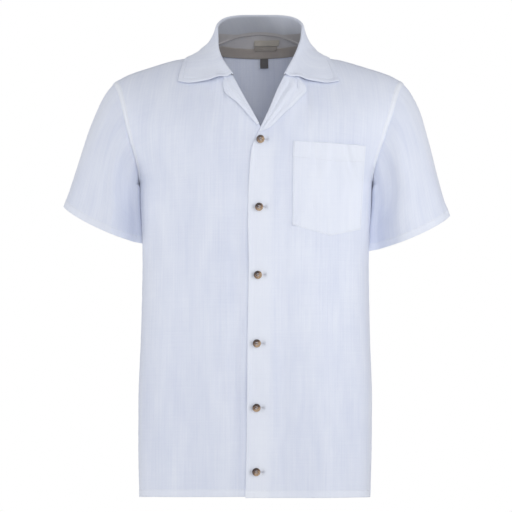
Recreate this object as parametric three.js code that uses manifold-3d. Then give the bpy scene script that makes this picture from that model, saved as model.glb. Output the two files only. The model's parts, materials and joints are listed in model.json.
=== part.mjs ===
// A short-sleeved linen bush shirt with an open one-piece collar, filled out as it is when worn.
// Millimetres, +Z up. The front faces -Y and the wearer's left is +X. The origin is the middle of
// the neck, level with the high shoulder points. Front and back meet in the plane Y = 0.
import * as THREE from "three";
import { mergeVertices } from "three/addons/utils/BufferGeometryUtils.js";
import Module from "manifold-3d";

// Driving sizes
const BODY_LENGTH = 754; // high shoulder point to hem
const UNDERARM_Z = -235;
const SHOULDER_TIP = { x: 241, z: -70 };
const NECK_HALF = 75; // half the width of the neck, at the high shoulder points
const HIGH_POINT_Z = -5;
const HEM_RISE = { right: 8, left: 6.5 }; // the middle of a front hem is this much above its side
const ROUNDNESS = 2.5; // exponent of the body's rounded plan
const SEAM_HALF = 0.2; // each piece stops this short of a seam
const LAYER = 0.35; // air between two layers
const CLOTH = 1.2;
const THIN = 1.0; // facing, tape and labels
const DOUBLE = 2; // collar and lapels, two layers of cloth
const FACING_WIDTH = 42;

// The figure that the cloth lies on, a row for each height: half width, and depth to front and back
const FIGURE = [
  { z: -754, half: 191, front: 103, back: 106 },
  { z: -660, half: 193, front: 104, back: 106 },
  { z: -594, half: 193, front: 105, back: 104 },
  { z: -495, half: 189.5, front: 107, back: 101 },
  { z: -362, half: 187, front: 113, back: 107 },
  { z: -262, half: 191.4, front: 118, back: 116 },
  { z: -235, half: 193, front: 118, back: 118 },
  { z: -217, half: 199, front: 118, back: 119 },
  { z: -197, half: 210, front: 117, back: 119 },
  { z: -164, half: 228, front: 115, back: 118 },
  { z: -127, half: 246, front: 111, back: 114 },
  { z: -97, half: 258, front: 107, back: 110 },
  { z: -70, half: 265, front: 104, back: 107 },
  { z: 60, half: 280, front: 98, back: 100 },
];

// Height of the shoulder line at each distance from the middle; inside the neck it only guides
const RIDGE = [
  { x: -40, z: 30 },
  { x: 0, z: 50 },
  { x: 40, z: 30 },
  { x: 75, z: -5 },
  { x: 98, z: -18 },
  { x: 118, z: -27 },
  { x: 137, z: -30.5 },
  { x: 152, z: -34.5 },
  { x: 183, z: -44 },
  { x: 205, z: -51 },
  { x: 222, z: -58 },
  { x: 234, z: -65 },
  { x: 241, z: -70 },
];

// Armhole seam, from underarm to shoulder tip
const ARMHOLE = [
  { z: -235, x: 193 },
  { z: -222, x: 193.6 },
  { z: -210, x: 195.5 },
  { z: -197, x: 198.5 },
  { z: -164, x: 209 },
  { z: -127, x: 220.5 },
  { z: -97, x: 229.5 },
  { z: -84, x: 234 },
  { z: -70, x: 241 },
];

// Neck seam of the back, at each distance from the middle
const BACK_NECK = [
  { x: -27, z: 14 },
  { x: 0, z: 17 },
  { x: 27, z: 14 },
  { x: 50, z: 7 },
  { x: 67, z: -1 },
  { x: 75, z: -5 },
];

// Inner edge of each front: placket edge, then roll line, then neck seam up to the high shoulder point
const NECK_EDGE = [
  { z: -53, x: 50 },
  { z: -48, x: 58 },
  { z: -38, x: 67 },
  { z: -25, x: 72.5 },
  { z: -14, x: 74.5 },
  { z: -5, x: 75 },
];
const LEFT_EDGE = [
  { z: -754, x: -14.8 },
  { z: -619, x: -13.2 },
  { z: -490, x: -12.8 },
  { z: -367, x: -11.2 },
  { z: -300, x: -12.6 },
  { z: -246, x: -11.9 },
  { z: -209, x: -9.8 },
  { z: -179, x: -7.2 },
  { z: -162, x: -1.4 },
  { z: -145, x: 5.4 },
  { z: -83, x: 30 },
  { z: -66, x: 37.5 },
  ...NECK_EDGE,
];
const RIGHT_EDGE = [
  { z: -754, x: 19.5 },
  { z: -496, x: 21 },
  { z: -250, x: 22 },
  { z: -185, x: 21 },
  { z: -165, x: 17 },
  { z: -145, x: 7.3 },
  { z: -110, x: -12 },
  { z: -75, x: -33 },
  { z: -61, x: -41 },
  ...NECK_EDGE.map(({ z, x }) => ({ z, x: -x })),
];

// Buttons, down the wearer's left front
const BUTTONS = [
  { z: -165, x: 5.8 },
  { z: -274.6, x: 5.2 },
  { z: -385, x: 3.7 },
  { z: -496.4, x: 2.2 },
  { z: -601.2, x: 2.1 },
  { z: -705.6, x: 2.2 },
];
const BUTTON = { radius: 6.6, thick: 2.6, rim: 1.1, dish: 0.7, holeRadius: 0.8, holeSpacing: 1.5, stand: 0.45 };

// Half of the collar, from its middle back to its front end: where it is sewn on, the top of its
// roll, and its free edge, whose depth is worked out from the cloth below it
const COLLAR = [
  { seamX: 0, seamZ: 17, rollX: 0, rollY: 60, rollZ: 50, edgeX: 0, edgeZ: -8 },
  { seamX: 27, seamZ: 14, rollX: 25, rollY: 55.5, rollZ: 49.5, edgeX: 33, edgeZ: -10 },
  { seamX: 50, seamZ: 7, rollX: 47, rollY: 43, rollZ: 46.5, edgeX: 64, edgeZ: -14 },
  { seamX: 67, seamZ: -1, rollX: 63, rollY: 24, rollZ: 38.5, edgeX: 93, edgeZ: -22 },
  { seamX: 75, seamZ: -5, rollX: 69.5, rollY: 3, rollZ: 27, edgeX: 117, edgeZ: -28 },
  { seamX: 75, seamZ: -14, rollX: 68.5, rollY: -13, rollZ: 10, edgeX: 123, edgeZ: -39 },
  { seamX: 73, seamZ: -25, rollX: 66, rollY: -29, rollZ: -6, edgeX: 127, edgeZ: -50 },
  { seamX: 67, seamZ: -38, rollX: 60.5, rollY: -47, rollZ: -23, edgeX: 130, edgeZ: -60 },
  { seamX: 43.4, seamZ: -62.5, rollX: 42.4, rollY: -86, rollZ: -56, edgeX: 132, edgeZ: -69 },
];
// How the front end of the collar waves up and down between roll and free edge
const COLLAR_END = [
  { t: 0, z: 0 },
  { t: 0.14, z: -1.2 },
  { t: 0.38, z: 2.6 },
  { t: 0.58, z: -1.2 },
  { t: 0.84, z: -3.4 },
  { t: 1, z: 0 },
];
const COLLAR_ROLL = 1.7; // radius of the roll, at the middle of the cloth
const COLLAR_LIFT = 2.4; // the free edge stands off the shirt

// Lapels, from the break at the first button up to the notch: roll line and free edge
const LEFT_LAPEL = [
  { rollX: 2.6, rollZ: -153, edgeX: 4, edgeZ: -153.5 },
  { rollX: 6.2, rollZ: -144, edgeX: 19, edgeZ: -147 },
  { rollX: 18.7, rollZ: -113, edgeX: 44, edgeZ: -122 },
  { rollX: 29.6, rollZ: -85, edgeX: 66, edgeZ: -99 },
  { rollX: 35, rollZ: -73, edgeX: 77, edgeZ: -84 },
  { rollX: 39.8, rollZ: -64, edgeX: 67, edgeZ: -70 },
];
const RIGHT_LAPEL = [
  { rollX: 3.6, rollZ: -139, edgeX: 0.6, edgeZ: -142 },
  { rollX: -7.5, rollZ: -121, edgeX: -17, edgeZ: -123 },
  { rollX: -21, rollZ: -98, edgeX: -34, edgeZ: -105 },
  { rollX: -31, rollZ: -80, edgeX: -49, edgeZ: -92 },
  { rollX: -35.8, rollZ: -71, edgeX: -57, edgeZ: -79 },
  { rollX: -39.5, rollZ: -64, edgeX: -54.5, edgeZ: -68 },
];
const LAPEL_LIFT = 2.4; // the free edge of a lapel stands off the front

// Sleeve hem rings, seen from the front: their outer and inner ends, and how far the front bulges and sags.
// The crown is the share of the sleeve over which it keeps the slope of the shoulder
const CUFFS = {
  right: { outerX: 319, outerZ: -271, innerX: 189.8, innerZ: -329, depth: 57, sag: 11, crown: 0.23 },
  left: { outerX: 322, outerZ: -286, innerX: 189.4, innerZ: -341.5, depth: 57, sag: 11, crown: 0.27 },
};
const SLEEVE_START = 0.8; // air between armhole and sleeve

// Chest pocket on the wearer's left: corners seen from the front
const POCKET = {
  topLeft: { x: 60, z: -168 },
  topRight: { x: 178, z: -175 },
  bottomLeft: { x: 59, z: -304 },
  bottomRight: { x: 172, z: -311 },
  point: 14,
};

// Inside the back neck: facing, tape along its lower edge, two blank labels and a blank size tab
const FACING_DROP = { middle: -20.5, side: -18.5, at: 57 };
const FACING_HALF = 71;
const TAPE = 15;
const LABELS = [
  { name: "neck_label_upper", x: 13, z: 4.6, width: 44, height: 9 },
  { name: "neck_label_lower", x: 12.5, z: -4.1, width: 40, height: 6.8 },
];
const SIZE_TAB = { name: "size_tab", x: 12, z: -28, width: 14, height: 16 };

// Soft folds: a ridge or trough from top to bottom, with its half width and height
const FRONT_FOLDS = [
  { topX: -34, topZ: -190, lowX: -31, lowZ: -790, width: 9, height: -2.2 },
  { topX: -52, topZ: -210, lowX: -50, lowZ: -700, width: 12, height: 2.2 },
  { topX: -96, topZ: -70, lowX: -80, lowZ: -360, width: 15, height: 3 },
  { topX: -128, topZ: -90, lowX: -118, lowZ: -300, width: 12, height: -2.2 },
  { topX: -66, topZ: -70, lowX: -40, lowZ: -200, width: 10, height: -2.5 },
  { topX: -150, topZ: -460, lowX: -112, lowZ: -840, width: 20, height: 3.2 },
  { topX: -176, topZ: -560, lowX: -160, lowZ: -840, width: 14, height: -3.4 },
  { topX: 100, topZ: -80, lowX: 118, lowZ: -180, width: 12, height: 2.4 },
  { topX: 46, topZ: -190, lowX: 44, lowZ: -840, width: 13, height: -2.6 },
  { topX: 96, topZ: -340, lowX: 118, lowZ: -840, width: 24, height: 3.6 },
  { topX: 150, topZ: -520, lowX: 172, lowZ: -840, width: 13, height: -3.4 },
  { topX: -190, topZ: -230, lowX: -120, lowZ: -420, width: 13, height: 2 },
];
const BACK_FOLDS = [
  { topX: -120, topZ: -60, lowX: -92, lowZ: -520, width: 20, height: 3.4 },
  { topX: -70, topZ: -160, lowX: -52, lowZ: -800, width: 16, height: -3 },
  { topX: -8, topZ: -240, lowX: -14, lowZ: -900, width: 24, height: 4 },
  { topX: 56, topZ: -180, lowX: 66, lowZ: -760, width: 17, height: -3.2 },
  { topX: 118, topZ: -70, lowX: 96, lowZ: -560, width: 19, height: 3 },
  { topX: 150, topZ: -420, lowX: 140, lowZ: -880, width: 16, height: -3.4 },
  { topX: -150, topZ: -440, lowX: -136, lowZ: -880, width: 17, height: -3.2 },
  { topX: 168, topZ: -150, lowX: 118, lowZ: -330, width: 12, height: 2.4 },
];
const SLEEVE_FOLDS = [
  { turn: 0.62, width: 0.09, height: -5, start: 0.05, end: 0.7 },
  { turn: 0.46, width: 0.1, height: 2.6, start: 0.1, end: 0.9 },
  { turn: 0.28, width: 0.09, height: -1.8, start: 0.25, end: 1.15 },
  { turn: -0.6, width: 0.1, height: -4, start: 0.05, end: 0.75 },
  { turn: -0.36, width: 0.1, height: 2.4, start: 0.2, end: 1.1 },
];

// The shirt hangs a little to one side, a row for each height
const HANG = [
  { z: -754, x: -3.3 },
  { z: -594, x: -2.5 },
  { z: -362, x: -1.7 },
  { z: -217, x: -1.2 },
  { z: -150, x: 0.2 },
  { z: -110, x: 2.3 },
  { z: -60, x: 2.8 },
  { z: -30, x: 1.4 },
  { z: -8, x: 2.6 },
  { z: 5, x: 4.4 },
  { z: 60, x: 6 },
];

// How finely each piece is divided
const LOWER_ROWS = 11;
const UPPER_ROWS = 10;
const FRONT_COLUMNS = 12;
const BACK_NECK_COLUMNS = 5;
const BACK_SHOULDER_COLUMNS = 9;
const SLEEVE_AROUND = 28;
const SLEEVE_ALONG = 8;
const COLLAR_AROUND = 32;

const clamp = THREE.MathUtils.clamp;
const lerp = THREE.MathUtils.lerp;
const smooth = (low, high, at) => THREE.MathUtils.smoothstep(at, low, high);
const vector = (x, y, z) => new THREE.Vector3(x, y, z);

// Reads a table at one value of its key, as a smooth curve through its rows
function along(table, key, at, column) {
  const value = clamp(at, table[0][key], table[table.length - 1][key]);
  let i = 0;
  while (i < table.length - 2 && table[i + 1][key] < value) i += 1;
  const slope = (a, b) => (table[b][column] - table[a][column]) / (table[b][key] - table[a][key]);
  const here = slope(i, i + 1);
  const tangent = (j) => {
    if (j === 0 || j === table.length - 1) return here;
    const before = slope(j - 1, j);
    const after = slope(j, j + 1);
    return before * after <= 0 ? 0 : (2 * before * after) / (before + after);
  };
  const span = table[i + 1][key] - table[i][key];
  const t = (value - table[i][key]) / span;
  const start = table[i][column];
  const rise = table[i + 1][column] - start;
  const a = tangent(i) * span;
  const b = tangent(i + 1) * span;
  return start + a * t + (3 * rise - 2 * a - b) * t * t + (a + b - 2 * rise) * t * t * t;
}

const ridge = (x) => along(RIDGE, "x", Math.abs(x), "z");
const armhole = (z) => along(ARMHOLE, "z", z, "x");
const backNeck = (x) => along(BACK_NECK, "x", Math.abs(x), "z");

// Height of the folds at a point of a panel
function folds(table, x, z) {
  return table.reduce((sum, fold) => {
    const t = (z - fold.topZ) / (fold.lowZ - fold.topZ);
    if (t <= 0 || t >= 1) return sum;
    const aside = (x - lerp(fold.topX, fold.lowX, t)) / fold.width;
    return sum + fold.height * Math.sin(Math.PI * t) ** 0.7 * Math.exp(-aside * aside);
  }, 0);
}

// Share of the full depth that the cloth has reached, this far below the shoulder line
function roundOver(x, z, power) {
  const reach = lerp(195, 110, clamp((Math.abs(x) - NECK_HALF) / (SHOULDER_TIP.x - NECK_HALF), 0, 1));
  const fall = clamp((ridge(x) - z) / reach, 0, 1);
  return (fall * (2 - fall)) ** power;
}

function sideShare(x, z) {
  const half = along(FIGURE, "z", z, "half");
  return (1 - Math.min(1, Math.abs(x) / half) ** ROUNDNESS) ** (1 / ROUNDNESS);
}

function frontSkin(x, z) {
  const share = sideShare(x, z) * roundOver(x, z, 0.7);
  const depth = along(FIGURE, "z", z, "front") + folds(FRONT_FOLDS, x, z);
  return vector(x, -depth * share, z);
}

function backSkin(x, z) {
  const share = sideShare(x, z) * roundOver(x, z, 0.55);
  const depth = along(FIGURE, "z", z, "back") + folds(BACK_FOLDS, x, z);
  return vector(x, depth * share, z);
}

// Points on a curve at the given shares of its length
function spread(curve, shares) {
  const steps = 160;
  const points = Array.from({ length: steps + 1 }, (_, i) => curve(i / steps));
  const lengths = [0];
  points.slice(1).forEach((p, i) => lengths.push(lengths[i] + p.distanceTo(points[i])));
  return shares.map((share) => {
    const wanted = share * lengths[steps];
    let i = 0;
    while (i < steps - 1 && lengths[i + 1] < wanted) i += 1;
    const t = (wanted - lengths[i]) / (lengths[i + 1] - lengths[i]);
    return curve((i + clamp(t, 0, 1)) / steps);
  });
}

const evenShares = (count) => Array.from({ length: count + 1 }, (_, i) => i / count);

// Unit normals of a grid of points, pointing to the side that `out` gives at its middle
function normalsOf(grid, out, wrap = false) {
  const rows = grid.length;
  const columns = grid[0].length;
  const column = (j) => (wrap ? (j + columns) % columns : clamp(j, 0, columns - 1));
  const normals = grid.map((row, i) =>
    row.map((_, j) => {
      const down = grid[Math.min(i + 1, rows - 1)][j].clone().sub(grid[Math.max(i - 1, 0)][j]);
      const across = row[column(j + 1)].clone().sub(row[column(j - 1)]);
      return across.cross(down).normalize();
    }),
  );
  const middle = normals[Math.floor(rows / 2)][Math.floor(columns / 2)];
  const sign = Math.sign(middle.dot(out));
  return normals.map((row) => row.map((n) => n.multiplyScalar(sign)));
}

const moved = (grid, normals, distance) =>
  grid.map((row, i) => row.map((p, j) => p.clone().addScaledVector(normals[i][j], distance(i, j, p))));

function hang(point) {
  return point.clone().setX(point.x + along(HANG, "z", point.z, "x"));
}

// One closed solid between two grids of the same size
function closedSheet(outer, inner, wrap = false) {
  const rows = outer.length;
  const columns = outer[0].length;
  const points = [...outer.flat(), ...inner.flat()].map(hang);
  const at = (side, i, j) => side * rows * columns + i * columns + (j % columns);
  const faces = [];
  const quad = (a, b, c, d) => faces.push(a, b, c, a, c, d);
  const lastColumn = wrap ? columns : columns - 1;
  for (let i = 0; i < rows - 1; i += 1) {
    for (let j = 0; j < lastColumn; j += 1) {
      quad(at(0, i, j), at(0, i, j + 1), at(0, i + 1, j + 1), at(0, i + 1, j));
      quad(at(1, i, j), at(1, i + 1, j), at(1, i + 1, j + 1), at(1, i, j + 1));
    }
  }
  for (let j = 0; j < lastColumn; j += 1) {
    quad(at(0, 0, j), at(1, 0, j), at(1, 0, j + 1), at(0, 0, j + 1));
    quad(at(0, rows - 1, j), at(0, rows - 1, j + 1), at(1, rows - 1, j + 1), at(1, rows - 1, j));
  }
  if (!wrap) {
    for (let i = 0; i < rows - 1; i += 1) {
      quad(at(0, i, 0), at(0, i + 1, 0), at(1, i + 1, 0), at(1, i, 0));
      quad(at(0, i, columns - 1), at(1, i, columns - 1), at(1, i + 1, columns - 1), at(0, i + 1, columns - 1));
    }
  }
  let volume = 0;
  for (let k = 0; k < faces.length; k += 3) {
    const [a, b, c] = [points[faces[k]], points[faces[k + 1]], points[faces[k + 2]]];
    volume += a.dot(b.clone().cross(c));
  }
  if (volume < 0) faces.reverse();
  const geometry = new THREE.BufferGeometry().setFromPoints(points);
  geometry.setIndex(faces);
  return geometry;
}

const shirt = new THREE.Group();
const LINEN = { color: 0xdfe3f0, roughness: 0.9, metalness: 0 };
const STONE = { color: 0xb9b4ad, roughness: 0.92, metalness: 0 };
const HORN = { color: 0x6f5138, roughness: 0.35, metalness: 0 };

function add(name, geometry, finish) {
  const mesh = new THREE.Mesh(geometry, new THREE.MeshStandardMaterial(finish));
  mesh.name = name;
  shirt.add(mesh);
  return mesh;
}

// Keeps a point on its own side of the plane of the side and shoulder seams
const inFront = (p) => p.setY(Math.min(p.y, -SEAM_HALF));
const behind = (p) => p.setY(Math.max(p.y, SEAM_HALF));

// Rows of a body panel, hem first: a height below the underarm, then a share of the way to the shoulder
function panelRows() {
  const lower = evenShares(LOWER_ROWS).map((t) => ({ z: lerp(-BODY_LENGTH, UNDERARM_Z, t ** 0.92), up: 0 }));
  const upper = evenShares(UPPER_ROWS).slice(1).map((t) => ({ z: UNDERARM_Z, up: t ** 0.8 }));
  return [...lower, ...upper];
}

// How far a front passes below the other where they overlap
const tuck = (x) => -(CLOTH + THIN + 2 * LAYER + 0.5) * smooth(-62, -24, x);

function frontRow({ z, up }, side, edgeTable) {
  const innerZ = lerp(z, HIGH_POINT_Z, up);
  const innerX = along(edgeTable, "z", innerZ, "x");
  const outerZ = lerp(z, SHOULDER_TIP.z, up);
  const outerX = side * (up > 0 ? armhole(outerZ) : along(FIGURE, "z", z, "half"));
  const nearHem = 1 - smooth(-BODY_LENGTH, -BODY_LENGTH + 260, z);
  const rise = (side > 0 ? HEM_RISE.left : HEM_RISE.right) * nearHem;
  return (t) => {
    const share = Math.sin((t * Math.PI) / 2);
    const x = lerp(innerX, outerX, share);
    const straight = lerp(innerZ, outerZ, share);
    const above = ridge(x) - lerp(HIGH_POINT_Z, SHOULDER_TIP.z, share);
    const bend = above * up ** 3 * smooth(0, 0.36, share);
    const height = straight + bend;
    return frontSkin(x, height + rise * sideShare(x, height));
  };
}

// Each panel keeps its two sides, so that what lies on it can be made from its points
function addFront(name, side, edgeTable, lower) {
  const grid = panelRows().map((row) => spread(frontRow(row, side, edgeTable), evenShares(FRONT_COLUMNS)));
  const normals = normalsOf(grid, vector(0, -1, 0));
  const drop = (i, j, p) => (lower ? tuck(p.x) : 0);
  const outer = moved(grid, normals, drop);
  const inner = moved(grid, normals, (i, j, p) => drop(i, j, p) - CLOTH);
  [outer, inner].forEach((points) => points.flat().forEach(inFront));
  add(name, closedSheet(outer, inner), LINEN);
  return { outer, inner, normals };
}

// The point of a panel's outer or inner side that is seen at x, z from the front, and its normal there
function onPanel(panel, which, x, z) {
  const grid = panel[which];
  let best = null;
  let least = Infinity;
  for (let i = 0; i < grid.length - 1; i += 1) {
    for (let j = 0; j < grid[0].length - 1; j += 1) {
      [
        [[i, j], [i, j + 1], [i + 1, j + 1]],
        [[i, j], [i + 1, j + 1], [i + 1, j]],
      ].forEach((corners) => {
        const [a, b, c] = corners.map(([r, k]) => grid[r][k]);
        const area = (b.x - a.x) * (c.z - a.z) - (c.x - a.x) * (b.z - a.z);
        const v = ((x - a.x) * (c.z - a.z) - (c.x - a.x) * (z - a.z)) / area;
        const w = ((b.x - a.x) * (z - a.z) - (x - a.x) * (b.z - a.z)) / area;
        const outside = Math.max(0, -v, -w, v + w - 1);
        if (outside < least) {
          least = outside;
          best = { corners, weights: [1 - v - w, v, w] };
        }
      });
    }
  }
  const mix = (field) =>
    best.corners.reduce((sum, [r, k], n) => sum.addScaledVector(field[r][k], best.weights[n]), vector(0, 0, 0));
  return { point: mix(grid), normal: mix(panel.normals).normalize() };
}

// A sheet that lies on a panel: rows of seen places, and the heights of its two sides above the panel
function layOn(name, finish, panel, which, places, high, low) {
  const found = places.map((row) => row.map(({ x, z }) => onPanel(panel, which, x, z)));
  const raised = (height) =>
    found.map((row, i) =>
      row.map(({ point, normal }, j) => point.clone().addScaledVector(normal, height(i, j))),
    );
  add(name, closedSheet(raised(high), raised(low)), finish);
}

// Strip of cloth inside the placket, from the hem to the break of the lapel
function addFacing(name, side, edgeTable, panel) {
  const places = evenShares(LOWER_ROWS).map((t) => {
    const z = lerp(-BODY_LENGTH + HEM_RISE.right + 1, -180, t);
    const edge = along(edgeTable, "z", z, "x");
    return evenShares(3).map((u) => ({ x: edge + side * (0.6 + FACING_WIDTH * u), z }));
  });
  layOn(name, LINEN, panel, "inner", places, () => -LAYER, () => -LAYER - THIN);
}

function backRow({ z, up }) {
  const outerZ = lerp(z, SHOULDER_TIP.z, up);
  const outerX = up > 0 ? armhole(outerZ) : along(FIGURE, "z", z, "half");
  return (t) => {
    const share = Math.sin((t * Math.PI) / 2);
    const x = share * outerX;
    const guide = share * SHOULDER_TIP.x;
    const top = guide < NECK_HALF ? backNeck(guide) : ridge(guide);
    return backSkin(x, lerp(z, top, up));
  };
}

// A mirrored copy of a half row, with the folds of its own side
function mirroredRow(row, shares) {
  const half = backRow(row);
  const right = spread((t) => half(t), shares);
  const other = (p) => backSkin(-p.x, p.z);
  return [...right.slice(1).reverse().map(other), ...right];
}

function addBack() {
  const top = backRow({ z: UNDERARM_Z, up: 1 });
  const turn = (Math.asin(NECK_HALF / SHOULDER_TIP.x) * 2) / Math.PI;
  const neckShare = lengthOf(top, 0, turn) / lengthOf(top, 0, 1);
  const shares = [
    ...evenShares(BACK_NECK_COLUMNS).map((t) => t * neckShare),
    ...evenShares(BACK_SHOULDER_COLUMNS).slice(1).map((t) => lerp(neckShare, 1, t)),
  ];
  const grid = panelRows().map((row) => mirroredRow(row, shares));
  const normals = normalsOf(grid, vector(0, 1, 0));
  const outer = moved(grid, normals, () => 0);
  const inner = moved(grid, normals, () => -CLOTH);
  [outer, inner].forEach((points) => points.flat().forEach(behind));
  add("back_panel", closedSheet(outer, inner), LINEN);
  return { outer, inner, normals };
}

function lengthOf(curve, from, to) {
  const steps = 80;
  let length = 0;
  let last = curve(from);
  for (let i = 1; i <= steps; i += 1) {
    const next = curve(lerp(from, to, i / steps));
    length += next.distanceTo(last);
    last = next;
  }
  return length;
}

// Armhole seam from shoulder tip (0) to underarm (1), on the front or the back
function armholeCurve(skin) {
  return (t) => {
    const z = lerp(SHOULDER_TIP.z, UNDERARM_Z, t);
    return skin(armhole(z), z);
  };
}

// One line of a sleeve, from the armhole to the hem, at a turn from 0 at the top to 1 at the underarm
// and on to 2, by the back
function sleeveLine(turn, start, cuff) {
  const angle = turn * Math.PI;
  const front = Math.sin(angle);
  const across = Math.cos(angle);
  const middleX = (cuff.outerX + cuff.innerX) / 2;
  const middleZ = (cuff.outerZ + cuff.innerZ) / 2;
  const end = vector(
    middleX + across * (cuff.outerX - middleX),
    -cuff.depth * front * (1 - 0.45 * ((1 - across) / 2) ** 2),
    middleZ + across * (cuff.outerZ - middleZ) - cuff.sag * front,
  );
  const high = (1 + across) / 2;
  const away = vector(-0.02 + 0.76 * high ** 0.6, -0.3 * front, -1 + 0.28 * high).normalize();
  const axis = vector(0.4 * high + 0.02, 0, -0.92).normalize();
  const begin = start.clone().addScaledVector(vector(1, 0, 0).lerp(away, high), SLEEVE_START);
  const reach = begin.distanceTo(end);
  const bezier = new THREE.CubicBezierCurve3(
    begin,
    begin.clone().addScaledVector(away, reach * lerp(0.3, cuff.crown, high)),
    end.clone().addScaledVector(axis, -reach * 0.33),
    end,
  );
  return (s) => bezier.getPoint(s);
}

function sleeveFold(turn, s) {
  const signed = turn > 1 ? turn - 2 : turn;
  return SLEEVE_FOLDS.reduce((sum, fold) => {
    const t = (s - fold.start) / (fold.end - fold.start);
    if (t <= 0 || t >= 1) return sum;
    const aside = (signed - fold.turn) / fold.width;
    return sum + fold.height * Math.sin(Math.PI * t) * Math.exp(-aside * aside);
  }, 0);
}

function addSleeve(name, side, cuff) {
  const half = SLEEVE_AROUND / 2;
  const front = spread(armholeCurve(frontSkin), evenShares(half));
  const back = spread(armholeCurve(backSkin), evenShares(half));
  const starts = [...front, ...back.slice(1, -1).reverse()];
  const turns = starts.map((_, j) => (j * 2) / SLEEVE_AROUND);
  const lines = starts.map((start, j) => sleeveLine(turns[j], start, cuff));
  const steps = [...evenShares(SLEEVE_ALONG - 1).map((s) => s * 0.93), 1];
  const grid = steps.map((s) => lines.map((line) => line(s)));
  const normals = normalsOf(grid, vector(0, -1, 0), true);
  const quarter = normals[2][Math.floor(half / 2)];
  if (quarter.y > 0) normals.flat().forEach((n) => n.negate());
  const outer = moved(grid, normals, (i, j) => sleeveFold(turns[j], steps[i]));
  const thick = steps.map((s) => (s > 0.9 ? CLOTH + THIN : CLOTH));
  const inner = moved(outer, normals, (i) => -thick[i]);
  [outer, inner].forEach((grid_) => grid_.flat().forEach((p) => p.setX(p.x * side)));
  add(name, closedSheet(outer, inner, true), LINEN);
}

// Keeps points at least `gap` off the outer side of the body
function bodySamples() {
  const shares = evenShares(44);
  const rows = Array.from({ length: 45 }, (_, i) => ({ z: UNDERARM_Z, up: i / 44 }));
  const fronts = [1, -1].map((side) => {
    const table = side > 0 ? LEFT_EDGE : RIGHT_EDGE;
    const grid = rows.map((row) => spread(frontRow(row, side, table), shares));
    return { grid, normals: normalsOf(grid, vector(0, -1, 0)) };
  });
  const backGrid = rows.map((row) => mirroredRow(row, shares));
  const parts = [...fronts, { grid: backGrid, normals: normalsOf(backGrid, vector(0, 1, 0)) }];
  return parts.flatMap(({ grid, normals }) =>
    grid.flatMap((row, i) => row.map((p, j) => ({ p, n: normals[i][j] }))),
  );
}

function liftOff(point, samples, gap) {
  let best = samples[0];
  let nearest = Infinity;
  samples.forEach((sample) => {
    const d = sample.p.distanceToSquared(point);
    if (d < nearest) {
      nearest = d;
      best = sample;
    }
  });
  const height = point.clone().sub(best.p).dot(best.n);
  if (height < gap) point.addScaledVector(best.n, gap - height);
  return point;
}

// One line across the collar, from its seam up the stand, over the roll and down to its free edge
function collarLine(section, samples) {
  const at = (column) => along(COLLAR_ROWS, "row", section, column);
  const isBack = section < 4;
  const skin = isBack ? backSkin : frontSkin;
  const seam = skin(at("seamX"), at("seamZ")).add(vector(isBack ? 0 : -2.2, 0, 2.6));
  const roll = vector(at("rollX"), at("rollY"), at("rollZ"));
  const edge = skin(at("edgeX"), at("edgeZ"));
  const out = edge.clone().sub(roll).setZ(0).normalize();
  const radius = Math.min(COLLAR_ROLL, (roll.z - seam.z) / 2.4);
  const top = roll.clone().sub(vector(0, 0, radius));
  const centre = top.clone().addScaledVector(out, radius);
  const stand = [0, 0.34, 0.67, 1].map((t) => seam.clone().lerp(top, t));
  const arc = [0.25, 0.5, 0.75].map((t) => {
    const angle = Math.PI * (1 - t);
    const aside = out.clone().multiplyScalar(Math.cos(angle) * radius);
    return centre.clone().add(aside).add(vector(0, 0, Math.sin(angle) * radius));
  });
  const from = centre.clone().addScaledVector(out, radius);
  const span = edge.clone().sub(from);
  const fall = new THREE.CubicBezierCurve3(
    from,
    from.clone().add(vector(span.x * 0.14, span.y * 0.14, span.z * 0.45)),
    edge.clone().sub(vector(span.x * 0.55, span.y * 0.55, span.z * 0.23)),
    edge,
  );
  const falls = [0, 0.14, 0.3, 0.47, 0.65, 0.82, 1].map((t) => {
    const wave = along(COLLAR_END, "t", t, "z") * smooth(COLLAR.length - 2, COLLAR.length - 1, section);
    const point = fall.getPoint(t).add(vector(0, 0, wave));
    return liftOff(point, samples, DOUBLE / 2 + lerp(2.9, COLLAR_LIFT, t));
  });
  const low = section > 6 ? [...stand, ...arc].map((p) => liftOff(p, samples, DOUBLE / 2 + 1)) : [...stand, ...arc];
  return [...low, ...falls];
}

// The row across the middle is mirrored, so that the collar runs smoothly through it
const COLLAR_ROWS = [COLLAR[1], ...COLLAR].map((row, i) => {
  const side = i === 0 ? -1 : 1;
  return { ...row, seamX: side * row.seamX, rollX: side * row.rollX, edgeX: side * row.edgeX, row: i - 1 };
});

function addCollar(samples) {
  const last = COLLAR.length - 1;
  const half = COLLAR_AROUND / 2;
  const mirror = (points) => points.map((p) => vector(-p.x, p.y, p.z));
  const lines = evenShares(half).map((t) => collarLine(t * last, samples));
  const grid = [...lines.slice(1).reverse().map(mirror), ...lines];
  const normals = normalsOf(grid, vector(0, 0, 1));
  const backFall = normals[half][lines[0].length - 3];
  if (backFall.y < 0) normals.flat().forEach((n) => n.negate());
  const outer = moved(grid, normals, () => DOUBLE / 2);
  const inner = moved(grid, normals, () => -DOUBLE / 2);
  add("collar", closedSheet(outer, inner), LINEN);
}

function addLapel(name, table, panel) {
  const rows = table.map((row, i) => ({ ...row, row: i }));
  const places = evenShares(12).map((t) => {
    const at = (column) => along(rows, "row", t * (rows.length - 1), column);
    return evenShares(4).map((u) => ({
      x: lerp(at("rollX"), at("edgeX"), u),
      z: lerp(at("rollZ"), at("edgeZ"), u),
    }));
  });
  const base = (i, j) => 0.9 + LAPEL_LIFT * (j / 4) * Math.sin((i / 12) * Math.PI * 0.6);
  layOn(name, LINEN, panel, "outer", places, (i, j) => base(i, j) + DOUBLE, base);
}

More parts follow.
